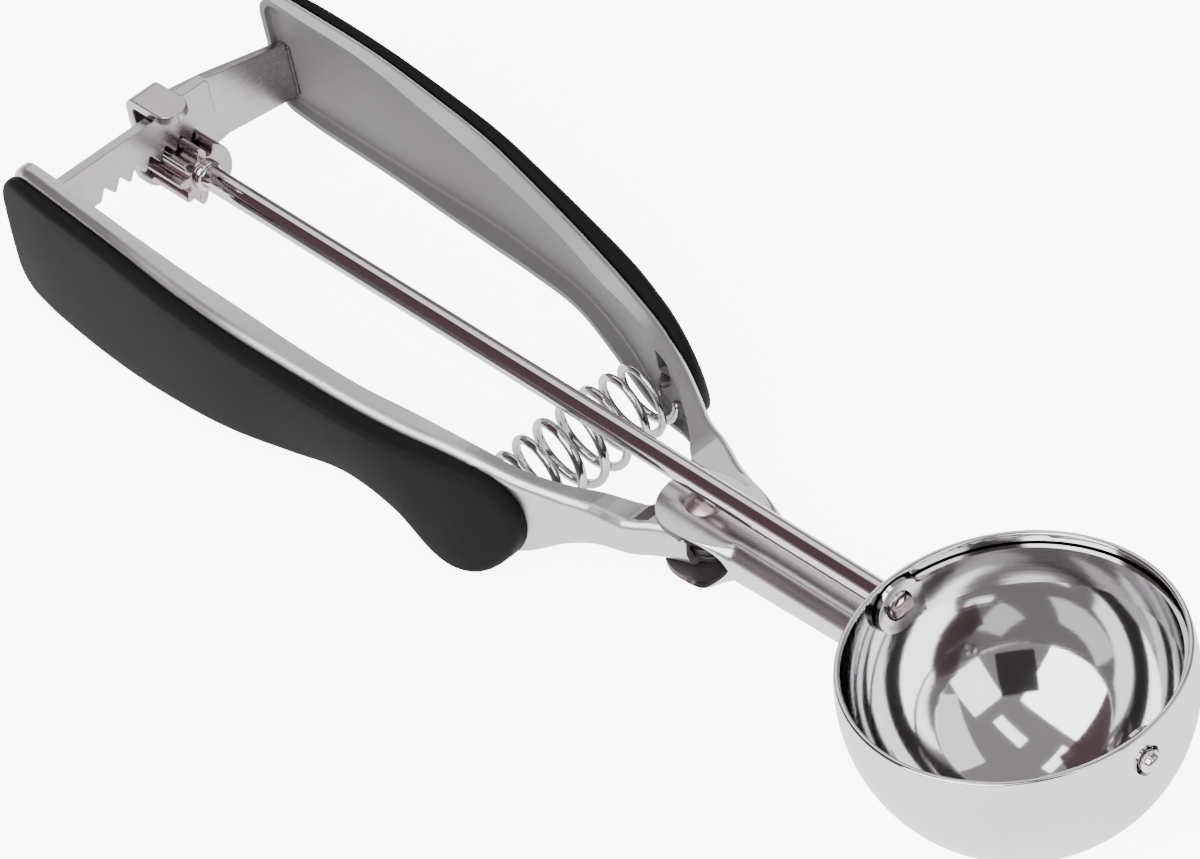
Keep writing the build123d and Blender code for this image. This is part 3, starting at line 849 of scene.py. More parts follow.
@dataclass
class Bowl:
    """Spun half ball with a rounded lip, a bearing hole for the rod and a hole for the blade's pin.

    Args:
        outer_r: outside radius.
        wall: thickness.
        rim: height of the lip above the rod's axis.
        lip: height of the lip's rounding.
        lip_steps: divisions of that rounding.
        rod_hole, pin_hole: radii of the two holes.
        profile_steps: divisions of the half ball's profile.
        steps: divisions of its turn.
    """

    outer_r: float = 26.5
    wall: float = 0.9
    rim: float = 4.9
    lip: float = 0.25
    lip_steps: int = 6
    rod_hole: float = 2.08
    pin_hole: float = 2.4
    profile_steps: int = 108
    steps: int = 144

    def build(self) -> None:
        """Builds the bowl."""
        bm = bmesh.new()
        profile = []
        for radius in (self.outer_r, self.outer_r - self.wall):
            start = math.degrees(math.asin(self.pin_hole / radius))
            end = 180.0 - math.degrees(math.asin(self.rod_hole / radius))
            line = [(x, 0.0, -r) for x, r in arc(radius, start, end, self.profile_steps)]
            profile += line if radius == self.outer_r else line[::-1]
        edges = chain(bm, profile, closed=True)
        verts = list({v for e in edges for v in e.verts})
        bmesh.ops.spin(bm, geom=verts + edges, cent=(0, 0, 0), axis=(1, 0, 0), angle=FULL_TURN,
                       steps=self.steps, use_merge=True)
        level = self.rim - self.lip
        bmesh.ops.bisect_plane(bm, geom=bm.verts[:] + bm.edges[:] + bm.faces[:], dist=MERGE_MM,
                               plane_co=(0, 0, level), plane_no=(0, 0, 1), clear_outer=True)
        rims = [e for e in bm.edges if e.is_boundary]
        loop = [e for e in rims if e.verts[0].co.length > self.outer_r - self.wall / 2]
        inner = [e for e in rims if e not in loop]
        for step in range(1, self.lip_steps):
            turn = HALF_TURN * step / self.lip_steps
            grown = bmesh.ops.extrude_edge_only(bm, edges=loop)["geom"]
            fresh = {v for v in grown if isinstance(v, bmesh.types.BMVert)}
            loop = [e for e in grown if isinstance(e, bmesh.types.BMEdge) and all(v in fresh for v in e.verts)]
            reach = self.outer_r - self.wall / 2 * (1 - math.cos(turn))
            for vert in fresh:
                flat = Vector((vert.co.x, vert.co.y, 0.0)).normalized() * math.sqrt(reach ** 2 - level ** 2)
                vert.co = (flat.x, flat.y, level + self.lip * math.sin(turn))
        bmesh.ops.bridge_loops(bm, edges=loop + inner)
        bmesh.ops.recalc_face_normals(bm, faces=bm.faces)
        finished(bm, "bowl_shell", Assignment(Body.FRAME, BOWL_STEEL, "steel", ("bowl",)))


@dataclass
class Blade:
    """Strip of a ball with a round tab at each end, on the rod's axis.

    Args:
        outer_r: outside radius.
        thickness: of its sheet.
        top, bottom: levels of its edges.
        tab_r: radius of its tabs.
        tab_least: half height of the tab at its very end.
        tab_steps: rows over half a tab.
        rows: rows between the tabs.
        columns: points across it.
    """

    outer_r: float = 25.3
    thickness: float = 0.7
    top: float = 2.8
    bottom: float = -4.2
    tab_r: float = 4.6
    tab_least: float = 0.05
    tab_steps: int = 8
    rows: int = 56
    columns: int = 9

    def row(self, turn: float) -> list:
        """One row of points across the strip.

        Args:
            turn: angle round the bowl's axis.

        Returns:
            The points.
        """
        reach = self.tab_r ** 2 - (self.outer_r * math.sin(turn)) ** 2
        tab = self.tab_least
        if reach > 0.0:
            tab = math.sqrt(max(reach, self.tab_least ** 2)) / abs(math.cos(turn))
        high, low = tab, -tab
        if 0.0 < turn < HALF_TURN:
            high, low = max(self.top, tab), min(self.bottom, -tab)
        points = []
        for k in range(self.columns):
            z = low + (high - low) * k / (self.columns - 1)
            flat = math.sqrt(self.outer_r ** 2 - z ** 2)
            points.append((-flat * math.cos(turn), flat * math.sin(turn), z))
        return points

    def build(self) -> None:
        """Builds the blade."""
        end = math.asin(self.tab_r / self.outer_r)
        near = [-end * math.cos(QUARTER * k / self.tab_steps) for k in range(self.tab_steps)]
        near += [end * math.sin(QUARTER * k / self.tab_steps) for k in range(self.tab_steps + 1)]
        middle = [end + (HALF_TURN - 2 * end) * k / self.rows for k in range(1, self.rows)]
        bm = bmesh.new()
        skin(bm, [self.row(t) for t in near + middle + [HALF_TURN - t for t in near[::-1]]])
        bmesh.ops.recalc_face_normals(bm, faces=bm.faces)
        bm.faces.ensure_lookup_table()
        one = bm.faces[len(bm.faces) // 2]
        if one.normal.dot(one.calc_center_median()) < 0:
            bmesh.ops.reverse_faces(bm, faces=bm.faces)
        finished(bm, "blade_strip", Assignment(Body.SHAFT, BLADE_STEEL, "steel", ("scraper_blade",)),
                 wall=self.thickness, bevel=0.12)


@dataclass
class Shaft:
    """Drive rod with its peened ends, and the short pin of the blade.

    Args:
        rear: rear face of the rod.
        rear_head_r: radius of the head behind the guide plate.
        head_plane: how far from the bowl's centre the heads inside it start.
        peen_r, peen_height: radius and height of those heads.
        peen_steps: divisions of a head's profile.
        front: where the rod steps down for the bowl and the blade.
        neck_r: its radius there.
        collar: steps of the collar in front of the pinion: place after the pinion, and radius.
        collar_end: where the collar is back to the rod.
        tang: half width, half height and length of the flat end.
        tang_sunk: how deep the flat end sits in its head.
        pin_end, pin_r: front end and radius of the blade's pin.
        pin_step: how far before its end the pin steps down.
        pin_nose: its rounded end: place before the end, and radius.
    """

    rear: float = -197.0
    rear_head_r: float = 2.9
    head_plane: float = 24.47
    peen_r: float = 2.5
    peen_height: float = 0.8
    peen_steps: int = 6
    front: float = -25.4
    neck_r: float = 1.4
    collar: tuple = ((0.0, 2.7), (0.7, 2.65), (1.0, 2.45))
    collar_end: float = 1.1
    tang: tuple = (1.9, 0.95, 0.75)
    tang_sunk: float = 0.45
    pin_end: float = 28.1
    pin_r: float = 1.8
    pin_step: float = 1.2
    pin_nose: tuple = ((1.15, 1.5), (0.3, 1.3), (0.0, 0.8), (0.0, 0.0))

    def dome(self, base: float, radius: float, height: float) -> list:
        """Profile of a rounded head, from its rim to the axis.

        Args:
            base: its plane along X.
            radius: its radius.
            height: its height, with its sign along X.

        Returns:
            The points.
        """
        turns = [QUARTER * k / self.peen_steps for k in range(self.peen_steps + 1)]
        return [(base + height * math.sin(t), 0.0, radius * math.cos(t)) for t in turns]

    def rod(self) -> bmesh.types.BMesh:
        """Rod with its heads and its collar.

        Returns:
            The mesh.
        """
        r, start = SIZES.rod_r, SIZES.pinion_front
        collar = [(start + dx, 0, cr) for dx, cr in self.collar] + [(start + self.collar_end, 0, r)]
        bm = bmesh.new()
        lathe(bm, self.dome(self.rear, self.rear_head_r, -self.peen_height)[::-1]
              + [(self.rear, 0, r), (start, 0, r)] + collar
              + [(self.front, 0, r), (self.front, 0, self.neck_r), (-self.head_plane, 0, self.neck_r)]
              + self.dome(-self.head_plane, self.peen_r, self.peen_height), (1, 0, 0))
        return bm

    def flat_end(self) -> bmesh.types.BMesh:
        """Flat end of the rod inside the bowl.

        Returns:
            The mesh.
        """
        wide, high, long = self.tang
        face = -self.head_plane + self.peen_height - self.tang_sunk
        bm = bmesh.new()
        slab(bm, [(face, wide * a, high * b) for a, b in ((-1, -1), (1, -1), (1, 1), (-1, 1))],
             Vector((long, 0.0, 0.0)))
        return bm

    def pin(self) -> bmesh.types.BMesh:
        """Pin of the blade.

        Returns:
            The mesh.
        """
        bm = bmesh.new()
        lathe(bm, self.dome(self.head_plane, self.peen_r, -self.peen_height)[::-1]
              + [(self.head_plane, 0, self.pin_r), (self.pin_end - self.pin_step, 0, self.pin_r)]
              + [(self.pin_end - dx, 0, pr) for dx, pr in self.pin_nose], (1, 0, 0))
        return bm

    def build(self) -> None:
        """Builds the rod, its flat end and the pin."""
        finished(self.rod(), "drive_rod_bar",
                 Assignment(Body.SHAFT, ROD_STEEL, "rod_steel", ("drive_rod",)), bevel=0.12)
        finished(self.flat_end(), "drive_rod_tang", Assignment(Body.SHAFT, RIVET_STEEL, "rod_steel"),
                 bevel=0.3, turns=3)
        finished(self.pin(), "blade_pin_rivet",
                 Assignment(Body.SHAFT, ROD_STEEL, "rod_steel", ("blade_pin",)), bevel=0.15)


@dataclass
class Pinion:
    """Long pinion with involute teeth on part of its edge; the rest keeps its full size.

    Args:
        pitch_r: pitch radius.
        addendum: height of the teeth over it.
        root_r: radius between the teeth.
        count: teeth of a full wheel.
        cut_teeth: teeth that are cut.
        pressure_deg: pressure angle.
        rear: its rear face.
        flank_steps: divisions of a tooth's flank.
        back_steps: divisions of the part that isn't cut.
    """

    pitch_r: float = 4.57
    addendum: float = 0.83
    root_r: float = 3.42
    count: int = 9
    cut_teeth: int = 6
    pressure_deg: float = 30.0
    rear: float = -194.8
    flank_steps: int = 4
    back_steps: int = 12

    def flank(self, radius: float) -> float:
        """Half angle of a tooth.

        Args:
            radius: where it is taken.

        Returns:
            The angle in radians.
        """
        start = math.radians(self.pressure_deg)
        lean = math.acos(min(self.pitch_r * math.cos(start) / radius, 1.0))
        return math.pi / (2 * self.count) + math.tan(start) - start - math.tan(lean) + lean

    def outline(self) -> list:
        """Outline of the toothed wheel.

        Returns:
            The points as distance and angle.
        """
        base = self.pitch_r * math.cos(math.radians(self.pressure_deg))
        outer = self.pitch_r + self.addendum
        radii = [base + (outer - base) * k / self.flank_steps for k in range(self.flank_steps + 1)]
        pitch = FULL_TURN / self.count
        polar = []
        for tooth in range(self.cut_teeth):
            turn = QUARTER + tooth * pitch
            polar.append((self.root_r, turn - self.flank(base)))
            polar += [(r, turn - self.flank(r)) for r in radii] + [(outer, turn)]
            polar += [(r, turn + self.flank(r)) for r in radii[::-1]]
            polar += [(self.root_r, turn + self.flank(base)), (self.root_r, turn + pitch / 2)]
        start = QUARTER + self.cut_teeth * pitch - pitch / 4
        end = QUARTER + self.count * pitch - pitch + pitch / 4
        polar[-1] = (self.root_r, start)
        back = [start + (end - start) * k / self.back_steps for k in range(self.back_steps + 1)]
        return polar + [(outer, turn) for turn in back] + [(self.root_r, end)]

    def build(self) -> None:
        """Builds the pinion."""
        bm = bmesh.new()
        slab(bm, [(self.rear, r * math.cos(a), r * math.sin(a)) for r, a in self.outline()],
             Vector((SIZES.pinion_front - self.rear, 0.0, 0.0)))
        finished(bm, "pinion_wheel", Assignment(Body.SHAFT, PINION_STEEL, "plate_steel", ("pinion",)),
                 bevel=0.16)


@dataclass
class Rack:
    """Flat toothed bar on the lever, with a raised stop at its free end.

    Args:
        top: level of its upper edge.
        end: its end at the lever handle.
        tip, root: levels of its teeth.
        right: its free end.
        stop_left, stop_height: inner side and height of the stop.
        stop_corner: the stop's broken corner.
        pitch: of the teeth.
        root_half, tip_half: half widths of a space at its root and at its mouth.
        spaces: number of spaces.
        toothed_to: how far along the bar the spaces narrow.
    """

    top: float = 11.7
    end: float = 26.63
    tip: float = 3.67
    root: float = 5.65
    right: float = 7.4
    stop_left: float = 1.9
    stop_height: float = 1.0
    stop_corner: float = 0.5
    pitch: float = 3.1905
    root_half: float = 0.244
    tip_half: float = 1.387
    spaces: int = 6
    toothed_to: float = -20.0

    def outline(self) -> list:
        """Outline of the bar across the tool.

        Returns:
            The points in Y and Z.
        """
        low = [(-self.end, self.tip)]
        for space in range(self.spaces, -1, -1):
            y = (1 - space) * self.pitch
            low += [(y - self.tip_half, self.tip), (y - self.root_half, self.root)]
            if space:
                low += [(y + self.root_half, self.root), (y + self.tip_half, self.tip)]
        crest = self.top + self.stop_height
        return low + [(self.right, self.root), (self.right, crest - self.stop_corner),
                      (self.right - self.stop_corner, crest), (self.stop_left, crest),
                      (self.stop_left, self.top), (-self.end, self.top)]

    def build(self) -> None:
        """Builds the bar. Its spaces narrow towards the pivot."""
        bm = bmesh.new()
        rear = SIZES.rack_x - SIZES.rack_sheet / 2
        slab(bm, [(rear, y, z) for y, z in self.outline()], Vector((SIZES.rack_sheet, 0.0, 0.0)))
        reach = SIZES.pivot_x - SIZES.rack_x
        for vert in bm.verts:
            if vert.co.z < self.root + MERGE_MM and self.toothed_to < vert.co.y < self.pitch:
                vert.co.y *= (SIZES.pivot_x - vert.co.x) / reach
        finished(bm, "rack_bar", Assignment(Body.LEVER, PLATE_STEEL, "plate_steel", ("rack",)), bevel=0.18)


@dataclass
class GuidePlate:
    """Plate that bears the rod; its finger is bent forwards over the rack.

    Args:
        lobe_r: radius of the lobe round the rod.
        lobe_from, lobe_to: angles of the lobe in degrees.
        lobe_steps: divisions of the lobe.
        end, low_end, high_end: its end at the fixed handle, and the levels there.
        low_rise: how far its lower edge has risen where it meets the lobe.
        low_meet: where that is.
        shoulder: its upper edge, from the handle to the finger.
        finger_left, finger_right: sides of the finger.
        finger_foot: where the finger's left side starts.
        finger_steps: divisions of the finger's round end.
        fillet: small rounding at the finger's right side: across and up.
        under: level of the finger's lower side.
        bend_r, bend_steps: radius and divisions of the bend.
        tip: how far forward the finger reaches.
    """

    lobe_r: float = 6.2
    lobe_from: float = 137.9
    lobe_to: float = 279.3
    lobe_steps: int = 28
    end: float = 26.35
    low_end: float = -6.4
    high_end: float = 4.6
    low_rise: float = 1.9
    low_meet: float = 12.1
    shoulder: tuple = ((10.2, 8.6), (4.0, 9.7), (2.1, 10.1))
    finger_left: float = -4.6
    finger_right: float = 1.2
    finger_foot: float = 5.0
    finger_steps: int = 16
    fillet: tuple = (0.3, 10.5, 11.1)
    under: float = 12.2
    bend_r: float = 0.9
    bend_steps: int = 10
    tip: float = -185.5

    def build(self) -> None:
        """Builds the flat blank and bends its finger."""
        start = self.under - self.bend_r
        curl = QUARTER * (self.bend_r + SIZES.plate_sheet / 2)
        straight = self.tip - (SIZES.plate_front + self.bend_r)
        half = (self.finger_right - self.finger_left) / 2
        middle = (self.finger_right + self.finger_left) / 2
        crest = start + curl + straight - half
        across, low, high = self.fillet
        outline = [(self.end, self.low_end), (self.end, self.high_end), *self.shoulder]
        outline += [(self.finger_right + across, low), (self.finger_right, high)]
        outline += [(middle + dy, crest + dz) for dy, dz in arc(half, 0.0, 180.0, self.finger_steps)]
        outline += [(self.finger_left, self.finger_foot)]
        outline += arc(self.lobe_r, self.lobe_from, self.lobe_to, self.lobe_steps)
        outline += [(self.low_meet, self.low_end + self.low_rise)]
        bm = bmesh.new()
        slab(bm, [(SIZES.plate_front - SIZES.plate_sheet, y, z) for y, z in outline],
             Vector((SIZES.plate_sheet, 0.0, 0.0)))
        cut(bm, 2, [start + curl * k / self.bend_steps for k in range(self.bend_steps + 1)])
        for vert in bm.verts:
            past = vert.co.z - start
            if past <= 0.0:
                continue
            reach = self.bend_r + (SIZES.plate_front - vert.co.x)
            turn = min(past / curl, 1.0) * QUARTER
            vert.co.z = start + reach * math.sin(turn)
            vert.co.x = SIZES.plate_front + self.bend_r - reach * math.cos(turn) + max(past - curl, 0.0)
        finished(bm, "guide_plate_blank",
                 Assignment(Body.FRAME, PLATE_STEEL, "plate_steel", ("guide_plate",)), bevel=0.25)


@dataclass
class Stem:
    """Folded tube welded to the bowl; at the rear its sheet opens into a clevis of two round cheeks.

    Args:
        half_width: half width of the tube.
        disc_r: radius of the cheeks.
        disc_past: how far the cheeks keep that width past the rivet.
        corner_r: rounding of the tube.
        rear: where the tube starts.
        depth_rear, slope: its depth there, and how fast it falls off towards the bowl.
        drop_start: where past the rivet the lower cheek starts to rise to the tube.
        ball_r: radius of the bowl that its front end meets.
        opening: length over which the sides of the clevis open.
        front: place of the row that is laid on that ball.
        disc_steps: rows over the rear half of the cheeks.
        end_gap: how far the first row lies inside the cheeks' end.
        open_step, open_rows: spacing and number of the rows up to the tube.
        tube_start, tube_step, tube_rows: start, spacing and number of the tube's rows.
        merge, collapse: distances that close the seams.
    """

    half_width: float = 6.0
    disc_r: float = 7.7
    disc_past: float = 1.0
    corner_r: float = 2.9
    rear: float = -57.0
    depth_rear: float = 7.0
    slope: float = 0.0316
    drop_start: float = 4.0
    ball_r: float = 26.62
    opening: float = 8.5
    front: float = -27.0
    disc_steps: int = 14
    end_gap: float = 0.02
    open_step: float = 0.6
    open_rows: int = 19
    tube_start: float = 1.2
    tube_step: float = 3.0
    tube_rows: int = 8
    merge: float = 0.004
    collapse: float = 0.002

    def half(self, x: float) -> float:
        """Half width of the sheet.

        Args:
            x: place along the stem.

        Returns:
            The half width.
        """
        away = x - SIZES.pivot_x
        if away <= self.disc_past:
            return math.sqrt(max(self.disc_r ** 2 - away ** 2, 0.0))
        share = min((away - self.disc_past) / (self.rear - SIZES.pivot_x + self.disc_past), 1.0)
        start = math.sqrt(self.disc_r ** 2 - self.disc_past ** 2)
        return start + (self.half_width - start) * eased(share)

    def side(self, x: float, full: float) -> float:
        """How far the edge of a cheek is folded over.

        Args:
            x: place along the stem.
            full: half the depth of the tube.

        Returns:
            The height of the fold.
        """
        past = (x - self.rear + self.opening) / self.opening
        if past <= 0.0:
            return 0.0
        return full if past >= 1.0 else full * (1 - math.sqrt(1 - past ** 2))

    def row(self, x: float, up: int) -> list:
        """Points across one sheet.

        Args:
            x: place along the stem.
            up: 1 for the top sheet, -1 for the bottom one.

        Returns:
            The points.
        """
        depth = self.depth_rear - self.slope * (max(x, self.rear) - self.rear)
        level = SIZES.stem_top
        if up < 0:
            past = x - SIZES.pivot_x - self.drop_start
            share = eased(min(max(past / (self.rear - SIZES.pivot_x - self.drop_start), 0.0), 1.0))
            level = SIZES.clevis_bottom + (SIZES.stem_top - depth - SIZES.clevis_bottom) * share
        fold = self.side(x, (depth if x >= self.rear else self.depth_rear) / 2)
        wide = self.half(x)
        radius = min(self.corner_r, fold, wide)
        points = [(x, -wide, level - up * fold), (x, -wide, level - up * (fold + radius) / 2)]
        points += [(x, -wide + radius - radius * math.sin(QUARTER * (1 - k / 6)),
                    level - up * radius * (1 - math.sin(QUARTER * k / 6))) for k in range(7)]
        points += [(x, (-wide + radius) * (1 - k / 3), level) for k in (1, 2, 3)]
        return points + [(px, -py, pz) for px, py, pz in points[-2::-1]]

    def places(self) -> list:
        """Places of the rows, from the end of the cheeks to the bowl.

        Returns:
            The places along X.
        """
        turns = [QUARTER * k / self.disc_steps for k in range(self.disc_steps + 1)]
        disc = [SIZES.pivot_x - self.disc_r * math.cos(turn) for turn in turns]
        disc[0] += self.end_gap
        rest = [SIZES.pivot_x + self.open_step * k for k in range(1, self.open_rows + 1)]
        tube = [self.rear + self.tube_start + self.tube_step * k for k in range(self.tube_rows)]
        return disc + rest + tube

    def build(self) -> None:
        """Builds the stem."""
        bm = bmesh.new()
        for up in (1, -1):
            rows = [self.row(x, up) for x in self.places()]
            rows.append([(-math.sqrt(self.ball_r ** 2 - py ** 2 - pz ** 2), py, pz)
                         for _, py, pz in self.row(self.front, up)])
            skin(bm, rows)
        bmesh.ops.remove_doubles(bm, verts=bm.verts, dist=self.merge)
        bmesh.ops.dissolve_degenerate(bm, edges=bm.edges, dist=self.collapse)
        bmesh.ops.recalc_face_normals(bm, faces=bm.faces)
        highest = max(bm.faces, key=lambda f: f.calc_center_median().z)
        if highest.normal.z < 0:
            bmesh.ops.reverse_faces(bm, faces=bm.faces)
        # The inside and cut edges of the folded tube are painted near-black as shade.
        finished(bm, "stem_tube", Assignment(Body.FRAME, STEM_STEEL, "steel", ("stem",)), wall=SIZES.sheet,
                 bevel=0.25, inside=PAINTED_SHADE_STEEL)


@dataclass
class Rivet:
    """Pivot rivet with two domed heads.

    Args:
        shank_r: radius of the shank.
        head_r, head_height: of the heads.
        seat: how far a head sits off its cheek.
        steps: divisions of a head's profile.
    """

    shank_r: float = 2.0
    head_r: float = 3.3
    head_height: float = 1.2
    seat: float = 0.02
    steps: int = 8

    def head(self, level: float, up: int) -> list:
        """Profile of one head, from its rim to the axis.

        Args:
            level: its seat.
            up: 1 or -1.

        Returns:
            The points.
        """
        ball = (self.head_r ** 2 + self.head_height ** 2) / (2 * self.head_height)
        edge = math.asin(self.head_r / ball)
        turns = [edge * (1 - k / self.steps) for k in range(self.steps + 1)]
        return [(SIZES.pivot_x + ball * math.sin(t), 0.0,
                 level + up * (self.head_height - ball * (1 - math.cos(t)))) for t in turns]

    def build(self) -> None:
        """Builds the rivet."""
        bm = bmesh.new()
        top, low = SIZES.stem_top + self.seat, SIZES.clevis_bottom - self.seat
        shank = [(SIZES.pivot_x + self.shank_r, 0, low), (SIZES.pivot_x + self.shank_r, 0, top)]
        lathe(bm, self.head(low, -1)[::-1] + shank + self.head(top, 1), (0, 0, 1), (SIZES.pivot_x, 0, 0))
        finished(bm, "pivot_rivet_body",
                 Assignment(Body.FRAME, RIVET_STEEL, "rivet_steel", ("pivot_rivet",)), bevel=0.15)


@dataclass
class Spring:
    """Barrel-shaped return spring between the two webs.

    Args:
        wire_r: radius of the wire.
        end_r, middle_r: coil radii at the ends and in the middle.
        turns: number of coils.
        closing: how much the coils close up at the ends.
        half: half its length.
        steps_per_turn: divisions of a coil.
        wire_steps: divisions round the wire.
    """

    wire_r: float = 0.72
    end_r: float = 5.2
    middle_r: float = 6.4
    turns: int = 8
    closing: float = 0.03
    half: float = 16.1
    steps_per_turn: int = 30
    wire_steps: int = 12

    def build(self) -> None:
        """Spins a ring along the axis and swells the coil to its barrel."""
        bm = bmesh.new()
        place = Matrix.Translation((SIZES.spring_x + self.end_r, -self.half, SIZES.spring_z))
        ring = bmesh.ops.create_circle(bm, segments=self.wire_steps, radius=self.wire_r,
                                       matrix=place)["verts"]
        steps = self.turns * self.steps_per_turn
        bmesh.ops.spin(bm, geom=ring + bm.edges[:], cent=(SIZES.spring_x, 0, SIZES.spring_z), axis=(0, -1, 0),
                       dvec=(0, 2 * self.half / steps, 0), angle=FULL_TURN * self.turns, steps=steps,
                       use_merge=False)
        bmesh.ops.holes_fill(bm, edges=[e for e in bm.edges if e.is_boundary], sides=0)
        bmesh.ops.recalc_face_normals(bm, faces=bm.faces)
        for vert in bm.verts:
            share = min(max((vert.co.y + self.half) / (2 * self.half), 0.0), 1.0)
            away = Vector((vert.co.x - SIZES.spring_x, 0.0, vert.co.z - SIZES.spring_z))
            vert.co += away.normalized() * (self.middle_r - self.end_r) * math.sin(math.pi * share)
            vert.co.y -= 2 * self.half * self.closing * math.sin(2 * math.pi * share)
        finished(bm, "return_spring_coil",
                 Assignment(Body.FRAME, SPRING_STEEL, "spring_steel", ("return_spring",)),
                 between=((SIZES.spring_x, -self.half, SIZES.spring_z),
                          (SIZES.spring_x, self.half, SIZES.spring_z)))


@dataclass
class Welds:
    """Seams where plates are welded into their handles.

    Args:
        bead_r: radius of a bead.
        ripple: how much a bead swells, as a share.
        taper: size of its ends, as a share.
        ring_steps: divisions round a bead.
        lump_steps: rings of one ripple.
        plate_z, rack_z: levels that the beads span.
        plate_lumps, rack_lumps: ripples of a bead.
    """

    bead_r: float = 0.42
    ripple: float = 0.16
    taper: float = 0.3
    ring_steps: int = 10
    lump_steps: int = 4
    plate_z: tuple = (-6.0, 4.2)
    rack_z: tuple = (4.1, 11.3)
    plate_lumps: int = 7
    rack_lumps: int = 5

    def bead(self, name: str, body: Body, start: Vector, end: Vector, lumps: int) -> None:
        """Lays one bead.

        Args:
            name: name of the piece.
            body: body that carries it.
            start, end: its ends.
            lumps: its ripples.
        """
        bm = bmesh.new()
        along = (end - start).normalized()
        turn = along.to_track_quat("Z", "Y").to_matrix().to_4x4()
        angles = [FULL_TURN * j / self.ring_steps for j in range(self.ring_steps)]
        rows = []
        count = lumps * self.lump_steps
        for k in range(count + 1):
            spot = start + (end - start) * k / count
            swell = self.bead_r * (1.0 + self.ripple * math.sin(k * FULL_TURN / self.lump_steps))
            swell *= self.taper if k in (0, count) else 1.0
            rows.append([spot + (turn @ Vector((swell * math.cos(a), swell * math.sin(a), 0.0)))
                         for a in angles])
        skin(bm, rows, closed=True)
        bmesh.ops.holes_fill(bm, edges=[e for e in bm.edges if e.is_boundary], sides=0)
        bmesh.ops.recalc_face_normals(bm, faces=bm.faces)
        finished(bm, name, Assignment(body, WELD_STEEL, "plate_steel"))

    def build(self) -> None:
        """Builds the beads of the guide plate and of the rack."""
        half = SIZES.rack_sheet / 2
        for name, side, at, front, rear, (low, high), lumps in (
            ("guide_plate", Side.FIXED, SIZES.plate_front, SIZES.plate_front,
             SIZES.plate_front - SIZES.plate_sheet, self.plate_z, self.plate_lumps),
            ("rack", Side.LEVER, SIZES.rack_x, SIZES.rack_x + half, SIZES.rack_x - half,
             self.rack_z, self.rack_lumps),
        ):
            body = Body.FRAME if side is Side.FIXED else Body.LEVER
            y = side.value * (SIZES.web(at) - SIZES.sheet - SEAM_MM)
            for place, x in (("front", front + SEAM_MM), ("rear", rear - SEAM_MM)):
                self.bead(f"{name}_weld_{place}", body, Vector((x, y, low)), Vector((x, y, high)), lumps)


@dataclass(frozen=True)
class SoftBox:
    """A flat lamp that faces the tool.

    Args:
        name: its name.
        spot: place of its middle in metres.
        size: length along X and width across it, in metres.
        level: how bright it looks.
    """

    name: str
    spot: tuple
    size: tuple
    level: float

    def build(self) -> None:
        """Builds the lamp."""
        data = bpy.data.lights.new(self.name, "AREA")
        data.shape = "RECTANGLE"
        data.size, data.size_y = self.size
        data.energy = self.level * math.pi * self.size[0] * self.size[1]
        lamp = bpy.data.objects.new(self.name, data)
        facing = -Vector(self.spot).normalized()
        along = (Vector((1.0, 0.0, 0.0)) - facing * facing.x).normalized()
        turn = Matrix((along, -facing.cross(along), -facing)).transposed().to_4x4()
        lamp.matrix_world = Matrix.Translation(self.spot) @ turn
        bpy.context.scene.collection.objects.link(lamp)


@dataclass(frozen=True)
class Board:
    """A dark board that only reflections see; it faces the tool.

    Args:
        name: its name.
        spot: place of its middle in metres.
        size: length and width in metres.
        color: its colour.
        upright: whether its length lies level instead of along X.
    """

    name: str
    spot: tuple
    size: tuple
    color: tuple
    upright: bool = False

    def build(self) -> None:
        """Builds the board."""
        bm = bmesh.new()
        bmesh.ops.create_grid(bm, x_segments=1, y_segments=1, size=0.5)
        bmesh.ops.scale(bm, vec=(*self.size, 1.0), verts=bm.verts)
        facing = -Vector(self.spot).normalized()
        side = Vector((-facing.y, facing.x, 0.0)) if self.upright else Vector((1.0, 0.0, 0.0))
        along = (side - facing * facing.dot(side)).normalized()
        turn = Matrix((along, facing.cross(along), facing)).transposed().to_4x4()
        bmesh.ops.transform(bm, matrix=Matrix.Translation(self.spot) @ turn, verts=bm.verts)
        mesh = bpy.data.meshes.new(self.name)
        bm.to_mesh(mesh)
        bm.free()
        mat = bpy.data.materials.new(self.name)
        mat.use_nodes = True
        shader = mat.node_tree.nodes["Principled BSDF"]
        shader.inputs["Base Color"].default_value = (*self.color, 1.0)
        shader.inputs["Roughness"].default_value = 1.0
        shader.inputs["Specular IOR Level"].default_value = 0.0
        mesh.materials.append(mat)
        obj = bpy.data.objects.new(self.name, mesh)
        bpy.context.scene.collection.objects.link(obj)
        obj.visible_camera = False
        obj.visible_shadow = False


